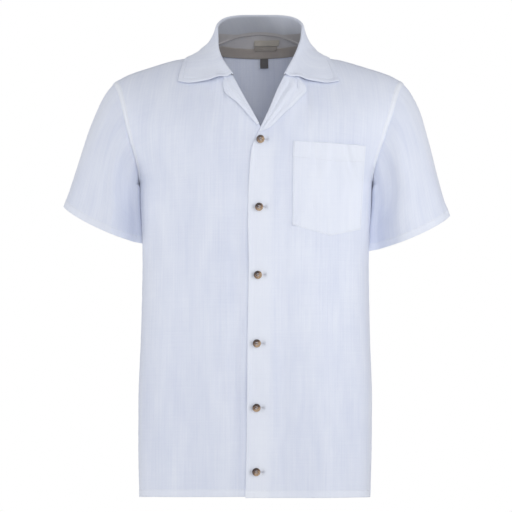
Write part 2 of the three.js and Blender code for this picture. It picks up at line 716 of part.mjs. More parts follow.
function addPocket(panel) {
  const { topLeft, topRight, bottomLeft, bottomRight, point } = POCKET;
  const rows = 9;
  const columns = 8;
  const places = evenShares(rows).map((v) =>
    evenShares(columns).map((u) => {
      const left = { x: lerp(topLeft.x, bottomLeft.x, v), z: lerp(topLeft.z, bottomLeft.z, v) };
      const right = { x: lerp(topRight.x, bottomRight.x, v), z: lerp(topRight.z, bottomRight.z, v) };
      const peak = 1 - Math.abs(u - 0.55) / (u < 0.55 ? 0.55 : 0.45);
      return { x: lerp(left.x, right.x, u), z: lerp(left.z, right.z, u) - point * peak * v };
    }),
  );
  const gape = (i, j) => 1.1 + 1.2 * Math.max(0, 1 - i / 3) * Math.sin((j / columns) * Math.PI);
  const hem = (i) => (i < 2 ? 0.6 : 0);
  layOn("chest_pocket", LINEN, panel, "outer", places, (i, j) => gape(i, j) + CLOTH + hem(i), gape);
}

// A patch inside the back between two heights, this far in from the back's inner side
function insideBack(name, finish, panel, { fromX, toX, columns, rows, low, high, depth }) {
  const places = evenShares(rows).map((v) =>
    evenShares(columns).map((u) => {
      const x = lerp(fromX, toX, u);
      return { x, z: lerp(low(x), high(x), v) };
    }),
  );
  layOn(name, finish, panel, "inner", places, () => -depth, () => -depth - THIN);
}

function addNeckInside(panel) {
  const rise = (FACING_DROP.side - FACING_DROP.middle) / FACING_DROP.at ** 2;
  const bottom = (x) => FACING_DROP.middle + rise * x * x;
  const facing = 2.6 * LAYER;
  const tape = facing + THIN + 2 * LAYER;
  insideBack("back_neck_facing", STONE, panel, {
    fromX: -FACING_HALF,
    toX: FACING_HALF,
    columns: 18,
    rows: 4,
    low: bottom,
    high: (x) => Math.max(backNeck(x) - 1.2, bottom(x) + 6),
    depth: facing,
  });
  insideBack("neck_tape", STONE, panel, {
    fromX: -FACING_HALF + 9,
    toX: FACING_HALF - 9,
    columns: 16,
    rows: 2,
    low: (x) => bottom(x) - 0.6,
    high: (x) => Math.min(bottom(x) + TAPE, backNeck(x) - 4),
    depth: tape,
  });
  LABELS.forEach(({ name, x, z, width, height }, i) => {
    const over = i === 0 ? tape : tape + THIN + 2 * LAYER;
    insideBack(name, STONE, panel, {
      fromX: x - width / 2,
      toX: x + width / 2,
      columns: 5,
      rows: 2,
      low: () => z - height / 2 + 0.3,
      high: () => z + height / 2,
      depth: over,
    });
  });
  const { name, x, z, width, height } = SIZE_TAB;
  insideBack(name, HORN, panel, {
    fromX: x - width / 2,
    toX: x + width / 2,
    columns: 2,
    rows: 3,
    low: () => z - height / 2,
    high: () => z + height / 2,
    depth: tape + THIN + LAYER,
  });
}

const wasm = await Module();
wasm.setup();

function solidOf(geometry) {
  const bare = geometry.clone();
  bare.deleteAttribute("normal");
  bare.deleteAttribute("uv");
  const merged = mergeVertices(bare, 1e-3);
  const vertProperties = new Float32Array(merged.attributes.position.array);
  return new wasm.Manifold(
    new wasm.Mesh({ numProp: 3, vertProperties, triVerts: new Uint32Array(merged.index.array) }),
  );
}

function geometryOf(solid) {
  const { vertProperties, triVerts } = solid.getMesh();
  const geometry = new THREE.BufferGeometry();
  geometry.setAttribute("position", new THREE.BufferAttribute(vertProperties, 3));
  geometry.setIndex(new THREE.BufferAttribute(triVerts, 1));
  return geometry;
}

// A dished four-hole button whose back lies on the plane z = 0
function buttonGeometry() {
  const { radius, thick, rim, dish, holeRadius, holeSpacing } = BUTTON;
  const profile = [
    [0, 0],
    [radius - 0.8, 0],
    [radius, 0.8],
    [radius, thick - 0.5],
    [radius - 0.5, thick],
    [radius - rim, thick],
    [radius - rim - 1, thick - dish],
    [0, thick - dish],
  ].map(([r, z]) => new THREE.Vector2(r, z));
  const disc = new THREE.LatheGeometry(profile, 18).rotateX(Math.PI / 2);
  let solid = solidOf(disc);
  [-1, 1].forEach((i) =>
    [-1, 1].forEach((j) => {
      const hole = new THREE.CylinderGeometry(holeRadius, holeRadius, thick * 3, 6).rotateX(Math.PI / 2);
      solid = solid.subtract(solidOf(hole.translate(i * holeSpacing, j * holeSpacing, 0)));
    }),
  );
  return geometryOf(solid);
}

function addButtons(panel) {
  const geometry = buttonGeometry();
  BUTTONS.forEach(({ x, z }, i) => {
    const { point, normal } = onPanel(panel, "outer", x, z);
    const button = add(`button_${i + 1}`, geometry, HORN);
    button.position.copy(hang(point).addScaledVector(normal, BUTTON.stand));
    button.quaternion.setFromUnitVectors(vector(0, 0, 1), normal);
  });
}

const back = addBack();
const right = addFront("front_right", -1, RIGHT_EDGE, true);
const left = addFront("front_left", 1, LEFT_EDGE, false);
addFacing("front_facing_right", -1, RIGHT_EDGE, right);
addFacing("front_facing_left", 1, LEFT_EDGE, left);
addSleeve("sleeve_right", -1, CUFFS.right);
addSleeve("sleeve_left", 1, CUFFS.left);
addCollar(bodySamples());
addLapel("lapel_right", RIGHT_LAPEL, right);
addLapel("lapel_left", LEFT_LAPEL, left);
addPocket(left);
addNeckInside(back);
addButtons(left);

export default shirt;
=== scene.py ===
"""A short-sleeved bush shirt in bluish-white linen, filled out as it is when worn.

Sizes in the tables are millimetres, as the shirt is cut and hangs. Meshes are made in metres.
The front faces -Y, the wearer's left is +X, and front and back meet in the plane Y = 0.
"""
import itertools
import json
import math

import bpy
import numpy as np
from mathutils import Matrix, Vector
from mathutils.kdtree import KDTree

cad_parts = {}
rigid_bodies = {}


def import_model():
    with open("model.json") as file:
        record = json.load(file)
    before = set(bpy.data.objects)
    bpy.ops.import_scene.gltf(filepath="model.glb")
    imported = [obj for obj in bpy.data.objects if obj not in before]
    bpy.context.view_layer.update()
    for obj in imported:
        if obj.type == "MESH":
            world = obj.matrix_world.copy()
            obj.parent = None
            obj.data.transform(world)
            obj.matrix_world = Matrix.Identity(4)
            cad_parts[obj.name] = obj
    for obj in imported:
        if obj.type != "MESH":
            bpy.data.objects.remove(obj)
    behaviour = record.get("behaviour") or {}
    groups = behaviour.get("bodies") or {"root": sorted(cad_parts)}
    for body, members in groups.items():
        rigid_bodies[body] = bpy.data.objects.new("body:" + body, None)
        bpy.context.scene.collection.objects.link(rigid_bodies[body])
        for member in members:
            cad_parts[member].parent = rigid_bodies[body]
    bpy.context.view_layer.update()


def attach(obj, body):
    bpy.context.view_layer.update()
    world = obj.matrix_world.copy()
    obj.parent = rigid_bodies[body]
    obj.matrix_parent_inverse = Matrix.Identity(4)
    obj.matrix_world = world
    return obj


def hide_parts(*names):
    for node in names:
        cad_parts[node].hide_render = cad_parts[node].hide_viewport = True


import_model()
MM = 0.001


# Camera and light

SHIRT_MIDDLE = (0, 0, -0.33)
WORLD_LIGHT = 0.37
SOFTBOX_SIZE = 1.6
SOFTBOXES = [
    ("key", (1.9, -2.6, 1.1), 20),
    ("side_right", (3.2, -0.9, -0.1), 17),
    ("front", (0, -5.6, 0.7), 76),
    ("side_left", (-3.2, -0.5, -0.1), 29),
    ("behind", (0.5, 3.6, -0.4), 36),
]


def add_camera():
    """Level with the middle of the shirt, straight in front, from a long way off, as in the photo."""
    data = bpy.data.cameras.new("camera")
    data.lens = 211.8
    data.sensor_width = 36
    data.clip_end = 50
    camera = bpy.data.objects.new("camera", data)
    camera.location = (-0.00125, -5.0, -0.3546)
    camera.rotation_euler = (math.pi / 2, 0, 0)
    bpy.context.collection.objects.link(camera)
    bpy.context.scene.camera = camera


def add_light(data, place, aim):
    light = bpy.data.objects.new(data.name, data)
    light.location = place
    light.rotation_euler = (Vector(aim) - Vector(place)).to_track_quat("-Z", "Y").to_euler()
    bpy.context.collection.objects.link(light)


def add_softboxes():
    for name, place, power in SOFTBOXES:
        data = bpy.data.lights.new(name, "AREA")
        data.size = SOFTBOX_SIZE
        data.energy = power
        add_light(data, place, SHIRT_MIDDLE)


def add_pool():
    """A spotlight with a wide soft edge, for the brighter left side of the chest."""
    data = bpy.data.lights.new("chest_pool", "SPOT")
    data.energy = 62
    data.spot_size = math.radians(11.5)
    data.spot_blend = 1
    data.shadow_soft_size = 0.3
    add_light(data, (0.7, -3.0, 0.1), (0.13, 0, -0.34))


def add_surroundings():
    """A white surround that the camera sees as paper white, dimmer as a source of light."""
    world = bpy.data.worlds.new("studio")
    bpy.context.scene.world = world
    world.use_nodes = True
    tree = world.node_tree
    tree.nodes.clear()
    seen = tree.nodes.new("ShaderNodeLightPath")
    strength = tree.nodes.new("ShaderNodeMapRange")
    strength.inputs["To Min"].default_value = WORLD_LIGHT
    strength.inputs["To Max"].default_value = 1.0
    sky = tree.nodes.new("ShaderNodeBackground")
    sky.inputs["Color"].default_value = (1, 1, 1, 1)
    out = tree.nodes.new("ShaderNodeOutputWorld")
    tree.links.new(seen.outputs["Is Camera Ray"], strength.inputs["Value"])
    tree.links.new(strength.outputs["Result"], sky.inputs["Strength"])
    tree.links.new(sky.outputs["Background"], out.inputs["Surface"])
    scene = bpy.context.scene
    scene.view_settings.view_transform = "Standard"
    scene.view_settings.look = "None"


add_camera()
add_surroundings()
add_softboxes()
add_pool()


# Tables of the shirt's form

def columns(names, *rows):
    return dict(zip(names.split(), np.array(rows, float).T))


BODY_LENGTH = 754
UNDERARM_Z = -235
TIP_X, TIP_Z = 241, -70
NECK_HALF = 75
HIGH_POINT_Z = -5
HEM_RISE = {"right": 8, "left": 6.5}
ROUNDNESS = 2.5
FRONT_ROUND, BACK_ROUND = 0.7, 0.55
SEAM_HALF = 0.05
PLY = 0.55
HEM_TURN = 12
HEM_STITCH = HEM_TURN - 1
FELL = 8.5
SEAM_STITCHES = (1.4, FELL - 1.3)
FACING_WIDTH = 42

FIGURE = columns(
    "z half front back",
    (-754, 191, 103, 106),
    (-660, 193, 104, 106),
    (-594, 193, 105, 104),
    (-495, 189.5, 107, 101),
    (-362, 187, 113, 107),
    (-262, 191.4, 118, 116),
    (-235, 193, 118, 118),
    (-217, 199, 118, 119),
    (-197, 210, 117, 119),
    (-164, 228, 115, 118),
    (-127, 246, 111, 114),
    (-97, 258, 107, 110),
    (-70, 265, 104, 107),
    (60, 280, 98, 100),
)
RIDGE = columns(
    "x z",
    (-40, 30),
    (0, 50),
    (40, 30),
    (75, -5),
    (98, -18),
    (118, -27),
    (137, -30.5),
    (152, -34.5),
    (183, -44),
    (205, -51),
    (222, -58),
    (234, -65),
    (241, -70),
)
ARMHOLE = columns(
    "z x",
    (-235, 193),
    (-222, 193.6),
    (-210, 195.5),
    (-197, 198.5),
    (-164, 209),
    (-127, 220.5),
    (-97, 229.5),
    (-84, 234),
    (-70, 241),
)
BACK_NECK = columns("x z", (-27, 14), (0, 17), (27, 14), (50, 7), (67, -1), (75, -5))
NECK_EDGE = [(-53, 50), (-48, 58), (-38, 67), (-25, 72.5), (-14, 74.5), (-5, 75)]
LEFT_EDGE = columns(
    "z x",
    (-754, -14.8),
    (-619, -13.2),
    (-490, -12.8),
    (-367, -11.2),
    (-300, -12.6),
    (-246, -11.9),
    (-209, -9.8),
    (-179, -7.2),
    (-162, -1.4),
    (-145, 7),
    (-83, 33),
    (-66, 41),
    *NECK_EDGE,
)
RIGHT_EDGE = columns(
    "z x",
    (-754, 19.5),
    (-496, 21),
    (-250, 22),
    (-185, 21),
    (-165, 17),
    (-145, 6),
    (-110, -16),
    (-75, -36.5),
    (-61, -44),
    *[(z, -x) for z, x in NECK_EDGE],
)
BUTTONS = [(5.8, -165), (5.2, -274.6), (3.7, -385), (2.2, -496.4), (2.1, -601.2), (2.2, -705.6)]
COLLAR = columns(
    "row seam_x seam_z roll_x roll_y roll_z edge_x edge_z",
    (-1, -27, 14, -25, 55.5, 49.5, -33, -10),
    (0, 0, 17, 0, 60, 50, 0, -8),
    (1, 27, 14, 25, 55.5, 49.5, 33, -10),
    (2, 50, 7, 47, 43, 46.5, 64, -14),
    (3, 67, -1, 63, 24, 38.5, 93, -22),
    (4, 75, -5, 69.5, 3, 27, 117, -28),
    (5, 75, -14, 68.5, -13, 10, 123, -39),
    (6, 73, -25, 66, -29, -6, 127, -50),
    (7, 67, -38, 60.5, -47, -23, 130, -60),
    (8, 43.4, -62.5, 42.4, -86, -56, 132, -69),
)
COLLAR_END = columns("t z", (0, 0), (0.14, -1.2), (0.38, 2.6), (0.58, -1.2), (0.84, -3.4), (1, 0))
LEFT_LAPEL = columns(
    "row roll_x roll_z edge_x edge_z",
    (0, 2.6, -153, 4, -153.5),
    (1, 6.2, -144, 19, -147),
    (2, 18.7, -113, 44, -122),
    (3, 29.6, -85, 66, -99),
    (4, 35, -73, 77, -84),
    (5, 42, -59.5, 67, -65),
    (6, 46.5, -52, 66, -57),
)
RIGHT_LAPEL = columns(
    "row roll_x roll_z edge_x edge_z",
    (0, 3.6, -139, 0.6, -142),
    (1, -7.5, -121, -17, -123),
    (2, -21, -98, -34, -105),
    (3, -31, -80, -49, -92),
    (4, -35.8, -71, -57, -79),
    (5, -42, -59.5, -55, -64),
    (6, -46.5, -52, -58, -56),
)
CUFFS = {
    "right": dict(outer=(319, -271), inner=(189.8, -329), depth=57, sag=11, crown=0.23),
    "left": dict(outer=(322, -286), inner=(189.4, -341.5), depth=57, sag=11, crown=0.27),
}
POCKET = dict(top_left=(60, -168), top_right=(178, -175), low_left=(59, -304), low_right=(172, -311))
POCKET_WIDTH, POCKET_HEIGHT, POCKET_POINT = 120, 140, 14
POCKET_BAND = 26
POCKET_STITCH = 2
HANG = columns(
    "z x",
    (-754, -3.3),
    (-594, -2.5),
    (-362, -1.7),
    (-217, -1.2),
    (-150, 0.2),
    (-110, 2.3),
    (-60, 2.8),
    (-30, 1.4),
    (-8, 2.6),
    (5, 4.4),
    (60, 6),
)

# Soft folds: x and z where each starts and ends, its half width, and its height
FRONT_FOLDS = [
    (-34, -190, -31, -790, 9, -2.2),
    (-52, -210, -50, -700, 12, 2.2),
    (-96, -70, -80, -360, 15, 3),
    (-128, -90, -118, -300, 12, -2.2),
    (-66, -70, -40, -200, 10, -2.5),
    (-150, -460, -112, -840, 20, 3.2),
    (-176, -560, -160, -840, 14, -3.4),
    (100, -80, 118, -180, 12, 2.4),
    (46, -190, 44, -840, 13, -2.6),
    (96, -340, 118, -840, 24, 3.6),
    (150, -520, 172, -840, 13, -3.4),
    (-190, -230, -120, -420, 13, 2),
]
BACK_FOLDS = [
    (-120, -60, -92, -520, 20, 3.4),
    (-70, -160, -52, -800, 16, -3),
    (-8, -240, -14, -900, 24, 4),
    (56, -180, 66, -760, 17, -3.2),
    (118, -70, 96, -560, 19, 3),
    (150, -420, 140, -880, 16, -3.4),
    (-150, -440, -136, -880, 17, -3.2),
    (168, -150, 118, -330, 12, 2.4),
]
# Small drapes by the collar and the placket
FRONT_CREASES = [
    (-77, -48, -73, -112, 3.4, -2.8),
    (-68, -48, -66, -120, 4.5, 2.2),
    (-59, -52, -50, -112, 3.2, -2.8),
    (-88, -60, -82, -190, 6, 1.6),
    (-44, -96, -38, -190, 5, -1.3),
    (58, -54, 64, -90, 3.2, -2.8),
    (67, -52, 70, -100, 4, 2.2),
    (76, -56, 82, -120, 4, -2.2),
    (90, -60, 92, -170, 7, 1.4),
    (62, -110, 50, -230, 6, -1.2),
    (34, -168, 30, -330, 6, 0.9),
    (28, -290, 34, -520, 7, -0.9),
    (-26, -250, -25, -800, 5, -1.4),
    (-33, -300, -34, -800, 4.5, 1.4),
]
# Folds down a sleeve: place round the arm, half width, height, and first and last share of the length
SLEEVE_FOLDS = [
    (0.62, 0.09, -5, 0.05, 0.7),
    (0.46, 0.1, 2.6, 0.1, 0.9),
    (0.28, 0.09, -1.8, 0.25, 1.15),
    (-0.6, 0.1, -4, 0.05, 0.75),
    (-0.36, 0.1, 2.4, 0.2, 1.1),
]


def along(tab, key, at, column):
    """Reads a table's column at any value of its key, as a smooth curve through its rows."""
    xs, ys = tab[key], tab[column]
    span = np.diff(xs)
    slope = np.diff(ys) / span
    before, after = slope[:-1], slope[1:]
    same = before * after > 0
    inner = np.where(same, 2 * before * after / np.where(same, before + after, 1), 0)
    tangent = np.concatenate([slope[:1], inner, slope[-1:]])
    at = np.clip(at, xs[0], xs[-1])
    i = np.clip(np.searchsorted(xs, at, side="right") - 1, 0, len(span) - 1)
    t = (at - xs[i]) / span[i]
    rise = ys[i + 1] - ys[i]
    a = tangent[i] * span[i]
    b = tangent[i + 1] * span[i]
    return ys[i] + a * t + (3 * rise - 2 * a - b) * t**2 + (a + b - 2 * rise) * t**3


def ease(low, high, at):
    t = np.clip((at - low) / (high - low), 0, 1)
    return t * t * (3 - 2 * t)


def lerp(a, b, t):
    return a + (b - a) * t


def points(x, y, z):
    return np.stack(np.broadcast_arrays(x, y, z), axis=-1).astype(float)


def unit(v):
    return v / np.maximum(np.linalg.norm(v, axis=-1, keepdims=True), 1e-9)


def bezier(start, one, two, stop, t):
    return start * (1 - t) ** 3 + 3 * one * t * (1 - t) ** 2 + 3 * two * t**2 * (1 - t) + stop * t**3


def ripple(u, v, across, down, seed):
    """Smooth random heights from -1 to 1, in patches of across by down millimetres."""
    lattice = np.random.default_rng(seed).uniform(-1, 1, (64, 64))
    a, b = u / across, v / down
    i, j = np.floor(a).astype(int), np.floor(b).astype(int)
    s, t = a - i, b - j
    s, t = s * s * (3 - 2 * s), t * t * (3 - 2 * t)
    near = lerp(lattice[i % 64, j % 64], lattice[(i + 1) % 64, j % 64], s)
    far = lerp(lattice[i % 64, (j + 1) % 64], lattice[(i + 1) % 64, (j + 1) % 64], s)
    return lerp(near, far, t)


def ridge(x):
    return along(RIDGE, "x", np.abs(x), "z")


def fold_height(folds, x, z):
    total = 0
    for top_x, top_z, low_x, low_z, width, height in folds:
        t = np.clip((z - top_z) / (low_z - top_z), 0, 1)
        aside = (x - lerp(top_x, low_x, t)) / width
        total = total + height * np.sin(np.pi * t) ** 0.7 * np.exp(-aside * aside)
    return total


def round_over(x, z, power):
    """Share of the full depth that the cloth has reached, this far below the shoulder line."""
    reach = lerp(195, 110, np.clip((np.abs(x) - NECK_HALF) / (TIP_X - NECK_HALF), 0, 1))
    fall = np.clip((ridge(x) - z) / reach, 0, 1)
    return (fall * (2 - fall)) ** power


def side_share(x, z):
    half = along(FIGURE, "z", z, "half")
    return (1 - np.minimum(1, np.abs(x) / half) ** ROUNDNESS) ** (1 / ROUNDNESS)


def front_skin(x, z):
    share = side_share(x, z) * round_over(x, z, FRONT_ROUND)
    folds = fold_height(FRONT_FOLDS, x, z) + fold_height(FRONT_CREASES, x, z)
    depth = along(FIGURE, "z", z, "front") + folds
    soft = 0.8 * ripple(x, z, 34, 90, 3) + 0.35 * ripple(x, z, 13, 42, 4)
    return points(x, -(depth + soft) * share, z)


def back_skin(x, z):
    share = side_share(x, z) * round_over(x, z, BACK_ROUND)
    depth = along(FIGURE, "z", z, "back") + fold_height(BACK_FOLDS, x, z)
    soft = 0.8 * ripple(x, z, 38, 95, 5) + 0.35 * ripple(x, z, 14, 45, 6)
    return points(x, (depth + soft) * share, z)


def across_grain(x, z, column, power):
    """Distance across the cloth from its middle, level with z, so that the grain runs straight down."""
    steps = np.sin(np.linspace(0, np.pi / 2, 20))
    xs = x[..., None] * steps
    zs = z[..., None] + 0 * steps
    depth = along(FIGURE, "z", zs, column) * side_share(xs, zs) * round_over(xs, zs, power)
    return np.sign(x) * np.hypot(np.diff(xs), np.diff(depth)).sum(axis=-1)


def skin_normal(skin, x, z, out):
    step = 1.5
    across = skin(x + step, z) - skin(x - step, z)
    up = skin(x, z + step) - skin(x, z - step)
    n = unit(np.cross(across, up))
    return n * np.sign(n[..., 1:2] * out + 1e-9)


def run(grid, axis):
    """Distance along a line, or along the rows or columns of a grid, from its first point."""
    steps = np.linalg.norm(np.diff(grid, axis=axis), axis=-1)
    total = np.cumsum(steps, axis=axis)
    first = np.zeros_like(np.take(total, [0], axis=axis))
    return np.concatenate([first, total], axis=axis)


def spread(curve, shares):
    """Points on a curve at these shares of its length."""
    t = np.linspace(0, 1, 241)
    lengths = run(curve(t), 0)
    return curve(np.interp(np.asarray(shares) * lengths[-1], lengths, t))


def read_line(line, lengths, at):
    """Points of a line, or its normals, at these lengths along it."""
    return np.stack([np.interp(at, lengths, line[:, k]) for k in range(3)], axis=-1)


def grid_normals(grid, out, at=None, wrap=False):
    """Normals of a grid, turned to point out at the row and column in at, or else at its middle."""
    down = np.gradient(grid, axis=0)
    if wrap:
        across = np.roll(grid, -1, axis=1) - np.roll(grid, 1, axis=1)
    else:
        across = np.gradient(grid, axis=1)
    n = unit(np.cross(across, down))
    at = at or (n.shape[0] // 2, n.shape[1] // 2)
    return n * np.sign(np.dot(n[at], out))


def hung(grid):
    """Shifts points a few millimetres sideways, the way the shirt hangs."""
    moved = grid.copy()
    moved[..., 0] += along(HANG, "z", grid[..., 2], "x")
    return moved


def at_distance(outer, normals, distance, wanted, axis):
    """The line across a grid where a distance, growing along axis, reaches wanted."""
    if axis == 1:
        outer, normals = outer.swapaxes(0, 1), normals.swapaxes(0, 1)
        distance = distance.swapaxes(0, 1)
    if distance[0, 0] > distance[-1, 0]:
        outer, normals, distance = outer[::-1], normals[::-1], distance[::-1]
    line, ways = [], []
    for j in range(outer.shape[1]):
        line.append(read_line(outer[:, j], distance[:, j], wanted))
        ways.append(read_line(normals[:, j], distance[:, j], wanted))
    return np.array(line), unit(np.array(ways))


# Relief of seams, hems and edges, in millimetres, from the distance to an edge

def band(distance, width, height, edge=0.9):
    return height * (1 - ease(width - edge, width + edge, distance))


def groove(distance, at, depth, half=0.8):
    return -depth * np.exp(-(((distance - at) / half) ** 2))


def pucker(distance, beside, reach, height, size, seed):
    """Short uneven ripples that a row of stitches draws up, fading away from it."""
    wave = ripple(beside, distance, size, 40, seed)
    wave = wave + 0.5 * ripple(beside, distance, size * 0.45, 30, seed + 1)
    return height * wave * np.exp(-((distance / reach) ** 2))


# Meshes

def new_mesh(name, verts, faces, uv=None, **values):
    """A smooth mesh of quads with its faces pointing outwards; values are numbers kept at each point."""
    verts = np.asarray(verts, float)
    faces = np.asarray(faces, int)
    a, b, c, d = (verts[faces[:, k]] for k in range(4))
    if np.einsum("ij,ij->i", a, np.cross(b, c) + np.cross(c, d)).sum() < 0:
        faces = faces[:, ::-1]
    mesh = bpy.data.meshes.new(name)
    mesh.from_pydata((verts * MM).tolist(), [], faces.tolist())
    mesh.polygons.foreach_set("use_smooth", np.ones(len(mesh.polygons), bool))
    if uv is not None:
        layer = mesh.uv_layers.new(name="cloth")
        loops = np.empty(len(mesh.loops), int)
        mesh.loops.foreach_get("vertex_index", loops)
        layer.data.foreach_set("uv", (np.asarray(uv)[loops] * MM).ravel())
    for value, numbers in values.items():
        mesh.attributes.new(value, "FLOAT", "POINT").data.foreach_set("value", np.asarray(numbers, float))
    mesh.update()
    piece = bpy.data.objects.new(name, mesh)
    bpy.context.collection.objects.link(piece)
    return piece


def shell(name, outer, inner, uv, wrap=False, **values):
    """A closed sheet between two grids, with rounded rims."""
    rows, cols = outer.shape[:2]
    n = rows * cols
    index = np.arange(n).reshape(rows, cols)
    ring = np.concatenate([index, index[:, :1]], axis=1) if wrap else index
    quads = np.stack([ring[:-1, :-1], ring[:-1, 1:], ring[1:, 1:], ring[1:, :-1]], axis=-1).reshape(-1, 4)
    verts = [outer.reshape(-1, 3), inner.reshape(-1, 3)]
    faces = [quads, quads[:, ::-1] + n]
    uvs = [uv.reshape(-1, 2), uv.reshape(-1, 2)]
    source = [index.ravel(), index.ravel()]
    if wrap:
        loops = [(ring[0], index[1]), (ring[-1][::-1], index[-2][::-1])]
    else:
        edge = np.concatenate([index[0], index[1:, -1], index[-1, -2::-1], index[-2:0:-1, 0]])
        inside = np.concatenate([index[1], index[1:, -2], index[-2, -2::-1], index[-2:0:-1, 1]])
        loops = [(np.append(edge, edge[0]), inside)]
    made = 2 * n
    for closed, inside in loops:
        edge = closed[:-1]
        inside = inside[: len(edge)]
        top, low = verts[0][edge], verts[1][edge]
        middle = (top + low) / 2
        away = unit(middle - (verts[0][inside] + verts[1][inside]) / 2)
        thick = np.linalg.norm(top - low, axis=1, keepdims=True)
        verts.append(middle + away * thick * 0.35)
        uvs.append(uvs[0][edge])
        source.append(edge)
        here = made + np.arange(len(edge))
        after = np.roll(here, -1)
        following = np.roll(edge, -1)
        faces.append(np.stack([edge, here, after, following], axis=-1))
        faces.append(np.stack([here, edge + n, following + n, after], axis=-1))
        made += len(edge)
    verts = np.concatenate(verts)
    source = np.concatenate(source)
    kept = {key: np.broadcast_to(value, (rows, cols)).ravel()[source] for key, value in values.items()}
    return new_mesh(name, hung(verts), np.concatenate(faces), np.concatenate(uvs), **kept)


def piece_done(piece, finish, slot, *nodes):
    piece.data.materials.clear()
    piece.data.materials.append(finish)
    if nodes:
        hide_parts(*nodes)
    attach(piece, "root")


# Materials

class Value:
    """A socket of a material; arithmetic on it adds Math nodes."""

    def __init__(self, finish, link):
        self.finish = finish
        self.link = link

    def math(self, operation, *others):
        inputs = dict(enumerate([self, *others]))
        return self.finish.node("ShaderNodeMath", {"operation": operation}, inputs)

    def __add__(self, other):
        return self.math("ADD", other)

    def __sub__(self, other):
        return self.math("SUBTRACT", other)

    def __rsub__(self, other):
        return (self * -1) + other

    def __mul__(self, other):
        return self.math("MULTIPLY", other)

    __radd__ = __add__
    __rmul__ = __mul__


class Finish:
    """A material whose surface is one Principled shader."""

    def __init__(self, name, **constants):
        self.material = bpy.data.materials.new(name)
        self.material.use_nodes = True
        self.tree = self.material.node_tree
        self.tree.nodes.clear()
        out = self.tree.nodes.new("ShaderNodeOutputMaterial")
        self.shader = self.tree.nodes.new("ShaderNodeBsdfPrincipled")
        self.tree.links.new(self.shader.outputs["BSDF"], out.inputs["Surface"])
        for socket, value in constants.items():
            self.shader.inputs[socket.replace("_", " ").title()].default_value = value

    def node(self, kind, settings=None, inputs=None, output=0):
        made = self.tree.nodes.new(kind)
        for name, value in (settings or {}).items():
            if name == "stops":
                while len(made.color_ramp.elements) < len(value):
                    made.color_ramp.elements.new(0.5)
                for element, (place, colour) in zip(made.color_ramp.elements, value):
                    element.position = place
                    element.color = (*colour, 1)
            else:
                setattr(made, name, value)
        for name, value in (inputs or {}).items():
            if isinstance(value, Value):
                self.tree.links.new(value.link, made.inputs[name])
            else:
                made.inputs[name].default_value = value
        return Value(self, made.outputs[output])

    def set(self, socket, value):
        self.tree.links.new(value.link, self.shader.inputs[socket])

    def mix(self, factor, a, b):
        paints = {k: v if isinstance(v, Value) else (*v, 1) for k, v in ((6, a), (7, b))}
        return self.node("ShaderNodeMix", {"data_type": "RGBA"}, {0: factor, **paints}, 2)

    def joined(self, x, y, z=0.0):
        return self.node("ShaderNodeCombineXYZ", None, {"X": x, "Y": y, "Z": z})

    def noise(self, place, scale, detail=2.0):
        return self.node("ShaderNodeTexNoise", None, {"Vector": place, "Scale": scale, "Detail": detail})

    def cloth_place(self):
        uv = self.node("ShaderNodeUVMap", {"uv_map": "cloth"})
        return [self.node("ShaderNodeSeparateXYZ", None, {"Vector": uv}, k) for k in (0, 1)]

    def object_place(self):
        return self.node("ShaderNodeTexCoord", None, None, "Object")

    def bump(self, height, distance, strength=1.0):
        inputs = {"Height": height, "Distance": distance, "Strength": strength}
        self.set("Normal", self.node("ShaderNodeBump", None, inputs))


def srgb(red, green, blue):
    def linear(c):
        c /= 255
        return c / 12.92 if c <= 0.04045 else ((c + 0.055) / 1.055) ** 2.4

    return tuple(linear(c) for c in (red, green, blue))


def woven(name, light, dark, pitch, slub, depth, toned=False, sheen=0.25):
    """Plain-weave cloth: threads pitch metres apart, with thick and thin places along them."""
    finish = Finish(name, roughness=0.88, sheen_weight=sheen, sheen_roughness=0.45)
    u, v = finish.cloth_place()
    warp = (u * (math.pi / pitch)).math("SINE")
    weft = (v * (math.pi / pitch)).math("SINE")
    warp_round, weft_round = warp.math("ABSOLUTE"), weft.math("ABSOLUTE")
    weave = (warp_round + weft_round) * 0.5 + warp * weft * (warp_round - weft_round) * 0.5
    warp_slub = finish.noise(finish.joined(u * 340, v * 9), 1.0, 3.0)
    weft_slub = finish.noise(finish.joined(u * 14, v * 420, 9.0), 1.0, 3.0)
    cloudy = finish.noise(finish.joined(u * 60, v * 16, 3.0), 1.0, 3.0)
    slubs = ((warp_slub - 0.5) * 1.3 + (weft_slub - 0.5) * 0.6) * slub
    broad = finish.noise(finish.joined(u * 17, v * 4, 6.0), 1.0, 2.0)
    patchy = slubs * 0.5 + (cloudy - 0.5) * 0.65 + (broad - 0.5) * 0.95
    mix = (patchy + weave * 0.3 + 0.45).math("MINIMUM", 1.0).math("MAXIMUM", 0.0)
    colour = finish.mix(mix, dark, light)
    if toned:
        # tone lightens doubled cloth towards LINEN_DOUBLED; shade mixes in LINEN_SHADED, which is painted
        # shade
        tone = finish.node("ShaderNodeAttribute", {"attribute_name": "tone"}, None, "Fac")
        shade = finish.node("ShaderNodeAttribute", {"attribute_name": "shade"}, None, "Fac")
        colour = finish.mix(shade, finish.mix(tone, colour, LINEN_DOUBLED), LINEN_SHADED)
    finish.set("Base Color", colour)
    finish.bump(weave * 0.4 + slubs, depth)
    return finish.material


